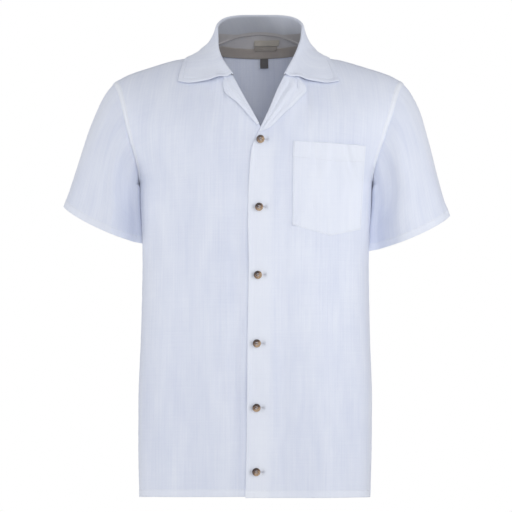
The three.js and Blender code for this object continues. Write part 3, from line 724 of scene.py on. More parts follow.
# Millimetres to the side at which each piece starts in its cloth, so that no two show the same threads
GRAIN = dict(
    front=300, front_facing=700, back=2000, sleeve=3000, collar=5000, lapel=6000, pocket=7000,
    neck_facing=8000, stand_facing=8200, neck_tape=8500, labels=9000,
)
LINEN_LIGHT = srgb(233, 238, 251)
LINEN_DARK = srgb(211, 218, 239)
LINEN_DOUBLED = srgb(242, 246, 255)
# The dark colour that the shade attribute mixes in, as painted shade
LINEN_SHADED = srgb(44, 42, 44)
linen = woven("slubby_linen", LINEN_LIGHT, LINEN_DARK, 0.00062, 1.0, 0.00016, toned=True)
facing_cloth = woven("stone_facing", srgb(201, 199, 201), srgb(181, 179, 183), 0.0005, 0.5, 0.00015)
# The facing's stone cloth made darker, as painted shade inside the collar's stand
shaded_facing_cloth = woven("stone_stand", srgb(157, 155, 157), srgb(140, 138, 142), 0.0005, 0.5, 0.00015)
tape_cloth = woven("brown_tape", srgb(176, 168, 162), srgb(147, 140, 136), 0.0007, 0.3, 0.00025)
label_cloth = woven("label_satin", srgb(188, 182, 172), srgb(168, 163, 155), 0.0003, 0.2, 0.00006, sheen=0.1)
ribbon_cloth = woven(
    "label_ribbon", srgb(164, 157, 150), srgb(146, 140, 134), 0.0003, 0.2, 0.00006, sheen=0.1
)
tab_cloth = woven("dark_tab", srgb(112, 110, 110), srgb(88, 86, 87), 0.0003, 0.2, 0.00006, sheen=0.1)


def thread_finish():
    finish = Finish("sewing_thread", roughness=0.7, sheen_weight=0.2)
    place = finish.object_place()
    speck = finish.noise(place, 900.0, 2.0)
    finish.set("Base Color", finish.mix(speck, srgb(206, 211, 226), srgb(240, 242, 248)))
    finish.bump(speck, 0.0001)
    return finish.material


thread = thread_finish()


def horn_finish():
    """Horn with its own mottle and streaks, and painted shade: each button darker at its upper left, tan and
    orange-brown below.
    """
    finish = Finish("brown_horn", roughness=0.32, coat_weight=0.35, coat_roughness=0.2)
    place = finish.object_place()
    across, down = finish.cloth_place()
    streaks = finish.noise(finish.joined(across * 900, down * 260), 1.0, 4.0)
    mottle = finish.noise(place, 330.0, 3.0)
    # Painted shade: darker towards the upper left of each button, lighter below and to the right
    painted_shade_slope = (down * 95 - across * 60) + 0.42
    blend = painted_shade_slope * 0.8 + (mottle - 0.5) * 1.6 + (streaks - 0.5) * 0.7
    stops = [
        (0.0, srgb(178, 150, 120)),
        (0.28, srgb(136, 108, 84)),
        (0.5, srgb(94, 72, 60)),
        (0.72, srgb(60, 47, 46)),
        (1.0, srgb(44, 36, 38)),
    ]
    ramp = finish.node("ShaderNodeValToRGB", {"stops": stops}, {"Fac": blend})
    finish.set("Base Color", ramp)
    finish.set("Roughness", mottle * 0.2 + 0.24)
    finish.bump(streaks, 0.00008)
    return finish.material


horn = horn_finish()


# Body panels

HEM_ROWS, LOWER_ROWS = 15, 150
UNDERARM_ROW = HEM_ROWS + LOWER_ROWS - 2
CHEST_ROW = 150
DENSE_EDGE = 1 - np.array([0.05, 0.044, 0.038, 0.032, 0.027, 0.022, 0.017, 0.012, 0.008, 0.004, 0.0])
FRONT_SHARES = np.concatenate([[0, 0.004, 0.009], np.linspace(0.016, 0.95, 84)[:-1], DENSE_EDGE])
BACK_SHARES = np.concatenate([np.linspace(0, 0.95, 88)[:-1], DENSE_EDGE])


def panel_rows():
    """Rows as a height up to the underarm and a share from there up: close together at the hem."""
    hem = np.linspace(0, 16, HEM_ROWS)
    lower = np.linspace(16, BODY_LENGTH + UNDERARM_Z, LOWER_ROWS)[1:]
    rows = [(-BODY_LENGTH + d, 0.0) for d in np.concatenate([hem, lower])]
    upper = np.linspace(0, 1, 84)[1:-4]
    near_top = 1 - np.array([0.03, 0.022, 0.015, 0.008, 0.0])
    return rows + [(UNDERARM_Z, t) for t in np.concatenate([upper, near_top])]


def front_row(z, up, side, edge_table, rise):
    """One row of a front as a curve, from its inner edge to its side."""
    inner_z = lerp(z, HIGH_POINT_Z, up)
    inner_x = along(edge_table, "z", inner_z, "x")
    outer_z = lerp(z, TIP_Z, up)
    outer_x = side * (along(ARMHOLE, "z", outer_z, "x") if up > 0 else along(FIGURE, "z", z, "half"))
    near_hem = 1 - ease(-BODY_LENGTH, -BODY_LENGTH + 260, z)

    def curve(t):
        share = np.sin(t * np.pi / 2)
        x = lerp(inner_x, outer_x, share)
        bend = (ridge(x) - lerp(HIGH_POINT_Z, TIP_Z, share)) * up**3 * ease(0, 0.3, share)
        height = lerp(inner_z, outer_z, share) + bend
        return front_skin(x, height + rise * near_hem * side_share(x, height))

    return curve


def back_row(z, up):
    """One row of the back as a curve, from its middle to the wearer's left side."""
    outer_z = lerp(z, TIP_Z, up)
    outer_x = along(ARMHOLE, "z", outer_z, "x") if up > 0 else along(FIGURE, "z", z, "half")

    def curve(t):
        share = np.sin(t * np.pi / 2)
        guide = share * TIP_X
        top = np.where(guide < NECK_HALF, along(BACK_NECK, "x", guide, "z"), ridge(guide))
        return back_skin(share * outer_x, lerp(z, top, up))

    return curve


def tuck(x):
    """How far the right front passes below the left one."""
    return -2.2 * ease(-62, -24, x)


def seam_relief(from_hem, from_side, length, seeds, felled):
    """Turned hem, felled seam at the armhole, and side seam, as heights of the outer side."""
    relief = band(from_hem, HEM_TURN, 0.35) + groove(from_hem, HEM_STITCH, 0.45)
    relief = relief + pucker(from_hem - HEM_TURN, length, 9, 0.35, 7, seeds)
    raised = band(from_side, FELL, 0.75)
    near, far = SEAM_STITCHES
    stitches = groove(from_side, near, 0.4) + groove(from_side, far, 0.5)
    drawn = pucker(from_side - FELL, from_hem, 8, 0.4, 8, seeds + 5)
    return relief + (raised + stitches + drawn) * felled


def beside_buttons(grid):
    """1 where the cloth is drawn in, to the left and right of each button, fading to 0."""
    drawn = 0
    for x, z in BUTTONS:
        for away in (-8.8, 11.2):
            aside, above = (grid[..., 0] - x - away) / 2.6, (grid[..., 2] - z) / 4
            drawn = drawn + np.exp(-(aside**2) - above**2)
    return drawn


def front_piece(name, side, edge_table, rise, lower, node):
    rows = panel_rows()
    grid = np.array([spread(front_row(z, up, side, edge_table, rise), FRONT_SHARES) for z, up in rows])
    across, down = run(grid, 1), run(grid, 0)
    from_side = across[:, -1:] - across
    normals = grid_normals(grid, (0, -1, 0))
    felled = ease(0, 0.04, np.array([up for _, up in rows]))[:, None]
    seeds = 20 if side > 0 else 40
    relief = seam_relief(down, from_side, across, seeds, felled)
    relief = relief + groove(from_side, 0, 0.5, 1.2)
    if lower:
        relief = relief + tuck(grid[..., 0])
    else:
        flare = 1.5 + 1.1 * ripple(0 * across + 5, down, 30, 44, 27)
        relief = relief + flare * np.exp(-((across / 6) ** 2)) * (1 - ease(580, 640, down))
        relief = relief - 0.4 * np.exp(-((across / 1.6) ** 2)) - 1.0 * beside_buttons(grid)
    outer = grid + normals * relief[..., None]
    thick = PLY + band(down, HEM_TURN, 0.9) + 0.8 * (1 - ease(0, 3.5, across))
    inner = grid + normals * (relief - thick)[..., None]
    for side_points in (outer, inner):
        side_points[..., 1] = np.minimum(side_points[..., 1], -SEAM_HALF)
    from_middle = across_grain(grid[..., 0], grid[..., 2], "front", FRONT_ROUND)
    uv = np.stack([from_middle + GRAIN["front"], down], axis=-1)
    doubled = 0 if lower else 1 - ease(FACING_WIDTH - 12, FACING_WIDTH + 4, across)
    doubled = doubled * (1 - ease(-190, -150, grid[..., 2]))
    fell_tone = band(from_side, FELL, 0.85) * felled
    tone = np.clip(doubled * 0.45 + fell_tone + band(down, HEM_TURN, 0.35), 0, 1)
    # Painted shade in the dimples to the left and right of each button
    shade = 0.0 if lower else 0.3 * beside_buttons(grid)
    piece_done(shell(name, outer, inner, uv, tone=tone, shade=shade), linen, "linen", node)
    return dict(grid=grid, normals=normals, outer=outer, across=across, down=down)


def back_piece():
    rows = panel_rows()
    lines = []
    for z, up in rows:
        half = spread(back_row(z, up), BACK_SHARES)
        other = back_skin(-half[1:, 0], half[1:, 2])[::-1]
        lines.append(np.concatenate([other, half]))
    grid = np.array(lines)
    normals = grid_normals(grid, (0, 1, 0))
    across, down = run(grid, 1), run(grid, 0)
    from_side = np.minimum(across, across[:, -1:] - across)
    from_top = down[-1:] - down
    relief = seam_relief(down, from_side, across, 60, np.ones((len(rows), 1)))
    shoulder = ease(NECK_HALF - 4, NECK_HALF + 2, np.abs(grid[..., 0]))
    relief = relief + (band(from_top, FELL, 0.6) + groove(from_top, SEAM_STITCHES[1], 0.35)) * shoulder
    outer = grid + normals * relief[..., None]
    inner = grid + normals * (relief - PLY - band(down, HEM_TURN, 0.9))[..., None]
    for side_points in (outer, inner):
        side_points[..., 1] = np.maximum(side_points[..., 1], SEAM_HALF)
    from_middle = across_grain(grid[..., 0], grid[..., 2], "back", BACK_ROUND)
    uv = np.stack([from_middle + GRAIN["back"], down], axis=-1)
    tone = np.clip(band(from_side, FELL, 0.6) + band(down, HEM_TURN, 0.35), 0, 1)
    piece_done(shell("back", outer, inner, uv, tone=tone), linen, "linen", "back_panel")
    return dict(grid=grid, normals=normals, outer=outer, across=across, down=down)


back = back_piece()
right = front_piece("right_front", -1, RIGHT_EDGE, HEM_RISE["right"], True, "front_right")
left = front_piece("left_front", 1, LEFT_EDGE, HEM_RISE["left"], False, "front_left")


def laid_on(name, finish, slot, node, skin, out, x, z, low, high, uv, **values):
    """A piece that lies on or inside a panel: low and high are its sides' heights above the panel."""
    surface = skin(x, z)
    normals = skin_normal(skin, x, z, out)
    base = surface + normals * np.broadcast_to(low, x.shape)[..., None]
    top = surface + normals * np.broadcast_to(high, x.shape)[..., None]
    piece_done(shell(name, top, base, uv, **values), finish, slot, node)
    return top, normals


def front_facing(name, side, edge_table, lower, node):
    z = np.linspace(-BODY_LENGTH + HEM_TURN + 2, -178, 150)[:, None]
    across = np.linspace(3.2, FACING_WIDTH, 16)[None, :]
    x = along(edge_table, "z", z, "x") + side * across
    z = z + 0 * across
    sunk = tuck(x) if lower else 0
    depth = sunk - PLY - 0.5
    inner_edge = 0.5 * (1 - ease(1, 4, FACING_WIDTH - across)) + 0 * z
    uv = np.stack([across * side + GRAIN["front_facing"] + 0 * z, z], axis=-1)
    low = depth - PLY - inner_edge
    laid_on(name, linen, "linen", node, front_skin, -1, x, z, low, depth, uv, tone=0.3)


front_facing("right_front_facing", -1, RIGHT_EDGE, True, "front_facing_right")
front_facing("left_front_facing", 1, LEFT_EDGE, False, "front_facing_left")


# Sleeves: turn is 0 on top of the arm, 0.5 at the front, 1 below and 1.5 behind

HALF_RING = 72
SLEEVE_PRESS = 0.7


def armhole_line(part, side, inside, shares):
    """A line along a panel's armhole edge, this far inside it, from the shoulder tip down."""
    upper = slice(UNDERARM_ROW, None)
    grid, normals, across = (part[name][upper] for name in ("grid", "normals", "across"))
    ends_here = side * grid[0, -1, 0] > 0
    from_edge = across[:, -1:] - across if ends_here else across
    lengths = run(grid[::-1, -1 if ends_here else 0], 0)
    line, ways = at_distance(grid, normals, from_edge, inside, 1)
    sunk = line - ways * (0.5 if inside else 0.2)
    return read_line(sunk[::-1], lengths, shares * lengths[-1])


def armhole_ring(side, front, inside):
    """Points down the front's armhole edge and up the back's, mirrored to the wearer's left."""
    shares = np.linspace(0, 1, HALF_RING + 1)
    near = armhole_line(front, side, inside, shares)
    far = armhole_line(back, side, inside, shares)
    ring = np.concatenate([near, far[1:-1][::-1]])
    ring[0] = (near[0] + far[0]) / 2
    ring[HALF_RING] = (near[-1] + far[-1]) / 2
    return ring * np.array([side, 1, 1])


def sleeve_lines(turn, start, cuff, s):
    """Points at shares s of the way from the armhole to the hem, for each turn round the arm."""
    angle = turn * np.pi
    front, across = np.sin(angle), np.cos(angle)
    middle = (np.array(cuff["outer"]) + np.array(cuff["inner"])) / 2
    half = np.array(cuff["outer"]) - middle
    low = (1 - across) / 2
    flat = 0.9 * low**2
    thin = 1 - 0.6 * ease(0.6, 0.95, low)
    end = points(
        middle[0] + across * half[0],
        -cuff["depth"] * front * thin * (1 - flat * (1 - np.abs(front))) + 9 * low**3,
        middle[1] + across * half[1] - cuff["sag"] * front - 4 * low**12,
    )
    high = (1 + across) / 2
    outwards = -0.08 + 0.82 * high**0.6 + 0.4 * np.abs(front) * low**2
    away = unit(points(outwards, -0.3 * front + 0.25 * low**4, -1 + 0.28 * high))
    axis = unit(points(0.4 * high, 0, -0.92))
    first = lerp(np.array([1.0, 0, 0]), away, high[:, None])
    begin = start + first * 0.3
    reach = np.linalg.norm(end - begin, axis=1, keepdims=True)
    one = begin + away * reach * lerp(0.3, cuff["crown"], high)[:, None]
    two = end - axis * reach * 0.33
    return bezier(begin, one, two, end, s[:, None, None])


def against_body(grid, s, turn):
    """The sleeve's grid, with its inner side resting on the body's side."""
    y, z = grid[..., 1], grid[..., 2]
    depth = np.where(y < 0, along(FIGURE, "z", z, "front"), along(FIGURE, "z", z, "back"))
    share = (1 - np.minimum(1, np.abs(y) / depth) ** ROUNDNESS) ** (1 / ROUNDNESS)
    body = along(FIGURE, "z", z, "half") * share - SLEEVE_PRESS
    low = (1 - np.cos(turn * np.pi)) / 2
    near = ease(0.9, 1, low)[None, :] * ease(0.02, 0.2, s)[:, None]
    resting = np.maximum(lerp(grid[..., 0], body, near), body)
    return points(np.where(z < UNDERARM_Z - 2, resting, grid[..., 0]), y, z)


def sleeve_piece(name, side, front, cuff, node):
    start = armhole_ring(side, front, 0)
    turn = np.arange(2 * HALF_RING) / HALF_RING
    middle = np.linspace(0.03, 0.92, 66)
    s = np.concatenate([np.linspace(0, 0.03, 5)[:-1], middle[:-1], np.linspace(0.92, 1, 16)])
    grid = against_body(sleeve_lines(turn, start, cuff, s), s, turn)
    under = [armhole_ring(side, front, inside) for inside in (7, 5, 3, 1.5)]
    grid = np.concatenate([under, grid])
    s = np.concatenate([np.zeros(len(under)), s])
    normals = grid_normals(grid, (0, -1, 0), (len(s) // 2, HALF_RING // 2), wrap=True)
    signed = np.where(turn > 1, turn - 2, turn)[None, :]
    relief = 0
    for place, width, height, first, last in SLEEVE_FOLDS:
        t = np.clip((s[:, None] - first) / (last - first), 0, 1)
        relief = relief + height * np.sin(np.pi * t) * np.exp(-(((signed - place) / width) ** 2))
    down = run(grid, 0)
    from_hem = down[-1:] - down
    circle = np.cumsum(np.linalg.norm(grid - np.roll(grid, 1, axis=1), axis=-1), axis=1)
    round_arm = circle - circle[:, :1]
    seed = 80 if side > 0 else 90
    periodic = np.sin(turn * np.pi)[None, :] * 160
    relief = relief + 0.7 * ripple(periodic + 0 * down, down, 30, 46, seed)
    relief = relief + band(from_hem, HEM_TURN, 0.3) + groove(from_hem, HEM_STITCH, 0.45)
    relief = relief + pucker(from_hem - HEM_TURN, round_arm, 8, 0.4, 7, seed + 2)
    down = down - down[len(under)]
    relief = relief + pucker(down, round_arm, 14, 0.6, 10, seed + 4)
    relief = relief * ease(0, 9, down)
    outer = grid + normals * relief[..., None]
    thick = PLY + band(from_hem, HEM_TURN, 0.9)
    inner = outer - normals * thick[..., None]
    for side_points in (outer, inner):
        side_points[..., 0] *= side
    uv = np.stack([round_arm + GRAIN["sleeve"], -down], axis=-1)
    tone = np.clip(band(from_hem, HEM_TURN, 0.35), 0, 1)
    piece_done(shell(name, outer, inner, uv, wrap=True, tone=tone), linen, "linen", node)
    return dict(outer=outer, normals=normals * np.array([side, 1, 1]), from_hem=from_hem)


sleeve_right = sleeve_piece("right_sleeve", -1, right, CUFFS["right"], "sleeve_right")
sleeve_left = sleeve_piece("left_sleeve", 1, left, CUFFS["left"], "sleeve_left")


# Collar and lapels

def body_tree():
    """The body's outer side, to keep the collar off it."""
    spots, ways = [], []
    for part in (left, right, back):
        spots.append(part["outer"][CHEST_ROW::2, ::2].reshape(-1, 3))
        ways.append(part["normals"][CHEST_ROW::2, ::2].reshape(-1, 3))
    spots, ways = np.concatenate(spots), np.concatenate(ways)
    tree = KDTree(len(spots))
    for i, spot in enumerate(spots):
        tree.insert(spot, i)
    tree.balance()
    return tree, spots, ways


TREE, SPOTS, WAYS = body_tree()


def lifted(grid, gap):
    """The grid, with each point at least gap off the outer side of the body."""
    flat = grid.reshape(-1, 3).copy()
    gaps = np.broadcast_to(gap, grid.shape[:-1]).ravel()
    for i, spot in enumerate(flat):
        nearest = TREE.find(spot)[1]
        height = np.dot(spot - SPOTS[nearest], WAYS[nearest])
        if height < gaps[i]:
            flat[i] = spot + WAYS[nearest] * (gaps[i] - height)
    return flat.reshape(grid.shape)


def smoothed(grid, times, fixed):
    """Evens out a grid along its profile, leaving the first points of each profile as they are."""
    for _ in range(times):
        even = grid.copy()
        even[:, 1:-1] = (grid[:, :-2] + 2 * grid[:, 1:-1] + grid[:, 2:]) / 4
        even[1:-1] = (even[:-2] + 2 * even[1:-1] + even[2:]) / 4
        grid = np.concatenate([grid[:, :fixed], even[:, fixed:]], axis=1)
    return grid


COLLAR_ROLL = 1.7
COLLAR_STITCH = 8
COLLAR_HALF_PLY, LAPEL_HALF_PLY = 0.75, 0.7
STAND_POINTS, ARC_POINTS = 14, 7
# Sections of the collar run from its middle behind, past the shoulder line, to its front end
COLLAR_SIDE, COLLAR_FRONT = 4, 8


def collar_profile(section):
    """One half of the collar in section: up the stand, over the roll and down the fall to the edge."""
    at = {name: along(COLLAR, "row", section, name) for name in COLLAR if name != "row"}
    behind = section < COLLAR_SIDE
    skin = back_skin if behind else front_skin
    seam = skin(at["seam_x"], at["seam_z"]) + np.array([0 if behind else -2.2, 0, 2.6])
    roll = np.array([at["roll_x"], at["roll_y"], at["roll_z"]])
    edge = skin(at["edge_x"], at["edge_z"])
    out = edge - roll
    out[2] = 0
    out = unit(out)
    radius = min(COLLAR_ROLL, (roll[2] - seam[2]) / 2.4)
    top = roll - np.array([0, 0, radius])
    centre = top + out * radius
    stand = lerp(seam, top, np.linspace(0, 1, STAND_POINTS)[:, None])
    angle = np.pi * (1 - np.linspace(0, 1, ARC_POINTS + 2)[1:-1])[:, None]
    arc = centre + out * np.cos(angle) * radius + np.array([0, 0, 1.0]) * np.sin(angle) * radius
    start = centre + out * radius
    span = edge - start
    one = start + span * np.array([0.14, 0.14, 0.45])
    two = edge - span * np.array([0.55, 0.55, 0.23])
    t = np.concatenate([np.linspace(0, 0.86, 26)[:-1], np.linspace(0.86, 1, 16)])[:, None]
    fall = bezier(start, one, two, edge, t)
    fall[:, 2] += along(COLLAR_END, "t", t[:, 0], "z") * ease(COLLAR_FRONT - 1, COLLAR_FRONT, section)
    return np.concatenate([stand, arc, fall])


def collar_piece():
    half = np.concatenate([np.linspace(0, 7.6, 74)[:-1], np.linspace(7.6, COLLAR_FRONT, 14)])
    lines = np.array([collar_profile(s) for s in half])
    turned = STAND_POINTS + ARC_POINTS
    fall = lines[:, turned:]
    t = np.linspace(0, 1, fall.shape[1])[None, :]
    front_end = ease(7.2, COLLAR_FRONT, half)[:, None]
    spring = 3.4 * front_end * np.sin(np.pi * np.clip((t - 0.08) * 1.7, 0, 1)) ** 2
    close = 1.7 * front_end * (1 - ease(0.12, 0.24, t))
    lines[:, turned:] = lifted(fall, 1 + lerp(2.9, 2.0, t) + spring - close)
    end = half > 6
    lines[np.ix_(end, np.arange(turned))] = lifted(lines[end][:, :turned], 2.0)
    lines = smoothed(lines, 3, STAND_POINTS)
    other = lines[1:][::-1] * np.array([-1, 1, 1])
    grid = np.concatenate([other, lines])
    normals = grid_normals(grid, (0, 1, 0), (len(half) - 1, -6))
    along_fall, beside = run(grid, 1), run(grid, 0)
    from_edge = along_fall[:, -1:] - along_fall
    from_end = np.minimum(beside, beside[-1:] - beside)
    edge = np.minimum(from_edge, from_end)
    puff = 0.35 * np.sin(np.pi * np.clip(edge / COLLAR_STITCH, 0, 1))
    relief = puff + groove(edge, COLLAR_STITCH, 0.5, 1.0)
    relief = relief + pucker(edge - COLLAR_STITCH, beside, 9, 0.35, 9, 110) * (edge < 40)
    soft = 0.5 * ripple(beside, along_fall, 26, 24, 112)
    relief = relief + soft * ease(34, 50, along_fall)
    outer = grid + normals * (COLLAR_HALF_PLY + relief)[..., None]
    inner = grid - normals * (COLLAR_HALF_PLY + groove(edge, COLLAR_STITCH, 0.3, 1.0))[..., None]
    uv = np.stack([beside + GRAIN["collar"], along_fall], axis=-1)
    # Painted shade inside the collar's stand: darkest at the neck seam, lessening up the stand and more
    # quickly towards the wearer's left where the light falls, none past the roll
    height = along_fall / along_fall[:, STAND_POINTS - 1:STAND_POINTS]
    side_light = 0.08 + 0.24 * ease(-10, 45, grid[..., 0])
    shade = (0.62 - side_light * np.clip(height, 0, 1)) * (1 - ease(0.9, 1.12, height))
    piece_done(shell("camp_collar", outer, inner, uv, tone=0.2, shade=shade), linen, "linen", "collar")
    return dict(outer=outer, normals=normals, from_edge=from_edge, from_end=from_end)


collar = collar_piece()


def lapel_piece(name, table, lower, creases, node):
    """A leaf that starts inside the front, turns over at the roll line and lies on the front."""
    t = np.concatenate([np.linspace(0, 0.92, 60)[:-1], np.linspace(0.92, 1, 12)])[:, None]
    row = t * table["row"][-1]
    roll_x, roll_z = (along(table, "row", row, c) for c in ("roll_x", "roll_z"))
    edge_x, edge_z = (along(table, "row", row, c) for c in ("edge_x", "edge_z"))
    width = np.hypot(edge_x - roll_x, edge_z - roll_z)
    radius, centre = 1.5, 0.2
    inside = np.linspace(-1, 0, 6)[None, :-1] * np.minimum(9, width * 0.6)
    turn = np.linspace(0, 1, 9)[None, :]
    leaf = np.concatenate([np.linspace(0, 0.8, 22)[1:-1], np.linspace(0.8, 1, 12)])[None, :]
    ones = np.ones_like(t)
    back_off = (radius + LAPEL_HALF_PLY) / width
    turned = back_off - np.sin(turn * np.pi) * radius / width
    sideways = np.concatenate([back_off - inside / width, turned, lerp(back_off, 1, leaf)], axis=1)
    bulge = 1.6 * np.sin(np.pi * leaf) * ease(0, 0.3, t) + 1.4 * leaf * ease(0.05, 0.5, t)
    for place, half_width, height in creases:
        aside = (leaf - place - 0.12 * (t - 0.5)) / half_width
        bulge = bulge + height * np.exp(-(aside**2)) * np.sin(np.pi * t)
    bulge = bulge * (1 - ease(0.7, 0.84, t))
    below = (centre - radius) * ones * np.ones_like(inside)
    rolled = (centre - np.cos(turn * np.pi) * radius) * ones
    heights = np.concatenate([below, rolled, centre + radius + bulge], axis=1)
    x = lerp(roll_x, edge_x, sideways)
    z = lerp(roll_z, edge_z, sideways)
    surface = front_skin(x, z)
    normals = skin_normal(front_skin, x, z, -1)
    sunk = tuck(x) * 0.6 if lower else 0
    grid = surface + normals * (heights + sunk)[..., None]
    leaf_normals = grid_normals(grid, (0, -1, 0), (40, -4))
    across, beside = run(grid, 1), run(grid, 0)
    from_edge = across[:, -1:] - across
    edge = np.minimum(from_edge, beside[-1:] - beside + 40 * (across < 16))
    puff = 0.3 * np.sin(np.pi * np.clip(edge / COLLAR_STITCH, 0, 1))
    relief = puff + groove(edge, COLLAR_STITCH, 0.45, 1.0)
    relief = relief * ease(12, 22, across) + 0.3 * ripple(beside, across, 18, 14, 120) * ease(8, 16, across)
    outer = grid + leaf_normals * (LAPEL_HALF_PLY + relief)[..., None]
    inner = grid - leaf_normals * LAPEL_HALF_PLY
    uv = np.stack([across + GRAIN["lapel"], beside], axis=-1)
    piece_done(shell(name, outer, inner, uv, tone=0.25), linen, "linen", node)


# Creases of a lapel: share of its width, half width as a share, and height
LEFT_CREASES = [(0.24, 0.07, -1.7), (0.42, 0.08, 1.5), (0.64, 0.08, -0.6)]
RIGHT_CREASES = [(0.3, 0.08, -0.8), (0.55, 0.1, 0.8)]
lapel_piece("right_lapel", RIGHT_LAPEL, True, RIGHT_CREASES, "lapel_right")
lapel_piece("left_lapel", LEFT_LAPEL, False, LEFT_CREASES, "lapel_left")


# Chest pocket

def pocket_place(u, v):
    """x and z of the pocket at shares of its width and height, with its low edge drawn to a point."""
    corner = {name: np.array(spot) for name, spot in POCKET.items()}
    start = lerp(corner["top_left"], corner["low_left"], v[..., None])
    stop = lerp(corner["top_right"], corner["low_right"], v[..., None])
    peak = 1 - np.abs(u - 0.55) / np.where(u < 0.55, 0.55, 0.45)
    place = lerp(start, stop, u[..., None])
    return place[..., 0], place[..., 1] - POCKET_POINT * peak * v


def pocket_piece():
    u = np.concatenate([[0, 0.008, 0.016, 0.024], np.linspace(0.034, 0.966, 54), [0.976, 0.984, 0.992, 1]])
    v = np.concatenate([[0, 0.007, 0.014], np.linspace(0.021, 0.978, 70), [0.985, 0.992, 1]])
    u, v = np.meshgrid(u, v)
    x, z = pocket_place(u, v)
    width = POCKET_WIDTH * u
    height = POCKET_HEIGHT * v
    from_side = np.minimum(width, POCKET_WIDTH - width)
    from_edge = np.minimum(from_side, POCKET_HEIGHT + 10 - height)
    gape = 2.2 * (1 - ease(0, 40, height)) * np.sin(np.pi * u) ** 0.8
    sprung = np.maximum(1 - ease(0, 6, width), 1 - ease(0, 5, height))
    gape = gape + 0.4 * sprung * (1 - ease(100, 130, height))
    low_corner = (width - 3) * 0.8 + (height - 136) * 0.6
    puffed = np.exp(-((low_corner / 4) ** 2)) * (1 - ease(6, 26, width)) * ease(112, 126, height)
    gape = gape + 1.6 * puffed
    wrinkle = 1.8 * ripple(width, height, 17, 70, 130) + 0.7 * ripple(width, height, 8, 44, 131)
    slant = (width - 96) * 0.9 - (height - 20) * 0.35
    top_corner = np.hypot(width - 100, (height - 24) * 0.6)
    wrinkle = wrinkle + 0.9 * np.sin(slant * 0.5) * np.exp(-((top_corner / 14) ** 2))
    wrinkle = wrinkle + groove(width - 109 - 0.25 * height, 0, 1.1, 1.2) * (1 - ease(15, 27, height))
    held = ease(1, 14, np.minimum(from_edge, 200))
    below = 0.5 + 0.5 * (1 - ease(100, 130, height))
    relief = wrinkle * held + groove(from_edge, POCKET_STITCH, 0.35, 0.9) * below
    relief = relief + groove(height, POCKET_BAND, 0.3, 1.0) + band(height, POCKET_BAND, 0.2)
    relief = relief - 0.3 * np.exp(-((from_edge / 1.2) ** 2))
    relief = relief + pucker(height - POCKET_BAND, width, 7, 0.4, 8, 134)
    flat = 0.4 + 0.6 * (1 - ease(90, 125, height))
    low = 0.1 + 0.5 * flat + gape
    high = low + 0.25 + 0.55 * flat + relief
    uv = np.stack([x + GRAIN["pocket"], z], axis=-1)
    # Lighter for the pocket's doubled cloth and its top band; the rise towards its side on the wearer's left
    # is painted light
    tone = np.clip(0.35 + band(height, POCKET_BAND, 0.1) + 0.25 * ease(60, 120, width), 0, 1)
    place = front_skin, -1, x, z, low, high, uv
    top, normals = laid_on("patch_pocket", linen, "linen", "chest_pocket", *place, tone=tone)
    return dict(top=top, normals=normals, width=width, height=height)


pocket = pocket_piece()


# Inside the back neck

FACING_TOP = 15.5


def facing_low(x):
    """Height of the facing's lower edge, which dips in the middle."""
    return -20.5 + (2 / 57**2) * x * x


def stand_facing():
    """The facing goes on above the neck seam, up the inside of the collar's stand."""
    ends = slice(22, -22)
    stand, ways = (collar[key][ends, :STAND_POINTS] for key in ("outer", "normals"))
    seam_z, top_z = stand[:, :1, 2], stand[:, -1:, 2]
    rise = np.clip((FACING_TOP - seam_z) / (top_z - seam_z), 0.03, 0.5)
    steps = STAND_POINTS - 1
    spot = np.clip(np.linspace(0, 1, 12)[None, :] * rise * steps, 0, steps)
    low = np.floor(spot).astype(int).clip(0, steps - 1)
    part = (spot - low)[..., None]
    row = np.arange(len(stand))[:, None]
    place = lerp(stand[row, low], stand[row, low + 1], part)
    way = unit(lerp(ways[row, low], ways[row, low + 1], part))
    below = [place[:, 0] + way[:, 0] * out - np.array([0, 0, drop]) for drop, out in ((5, 2.6), (2.5, 1.6))]
    place = np.concatenate([np.stack(below, axis=1), place], axis=1)
    way = np.concatenate([way[:, :1], way[:, :1], way], axis=1)
    outer, inner = place + way * COLLAR_HALF_PLY, place + way * 0.2
    uv = np.stack([run(place, 0) + GRAIN["stand_facing"], run(place, 1)], axis=-1)
    piece_done(shell("stand_facing", outer, inner, uv), shaded_facing_cloth, "facing_cloth")


def neck_cloth(name, finish, slot, node, x, z, low, high, grain):
    """A piece on the inside of the back: low and high are its sides' depths inside the cloth."""
    uv = np.stack([x + grain, z], axis=-1)
    laid_on(name, finish, slot, node, back_skin, 1, x, z, -PLY - low, -PLY - high, uv)


def neck_facing():
    x = np.linspace(-73, 73, 90)[None, :]
    v = np.linspace(0, 1, 26)[:, None]
    top = np.maximum(along(BACK_NECK, "x", np.abs(x), "z") + 1.5, facing_low(x) + 6)
    z = lerp(facing_low(x), top, v)
    place = x + 0 * v, z, 0.9 + PLY, 0.9
    neck_cloth("neck_facing", facing_cloth, "facing_cloth", "back_neck_facing", *place, GRAIN["neck_facing"])


def neck_tape():
    width = 15
    x = np.linspace(-71, 71, 90)[None, :]
    v = np.linspace(0, 1, 14)[:, None]
    top = np.minimum(facing_low(x) + width, along(BACK_NECK, "x", np.abs(x), "z") - 4)
    z = lerp(facing_low(x) - 0.6, top, v)
    x = x + 0 * v
    edge = np.minimum(v, 1 - v) * width
    relief = groove(edge, 1.6, 0.25, 0.6) + 0.15 * ripple(x, z, 9, 9, 140)
    place = x, z, 2.8 + relief, 2.2
    neck_cloth("neck_tape_strip", tape_cloth, "tape", "neck_tape", *place, GRAIN["neck_tape"])


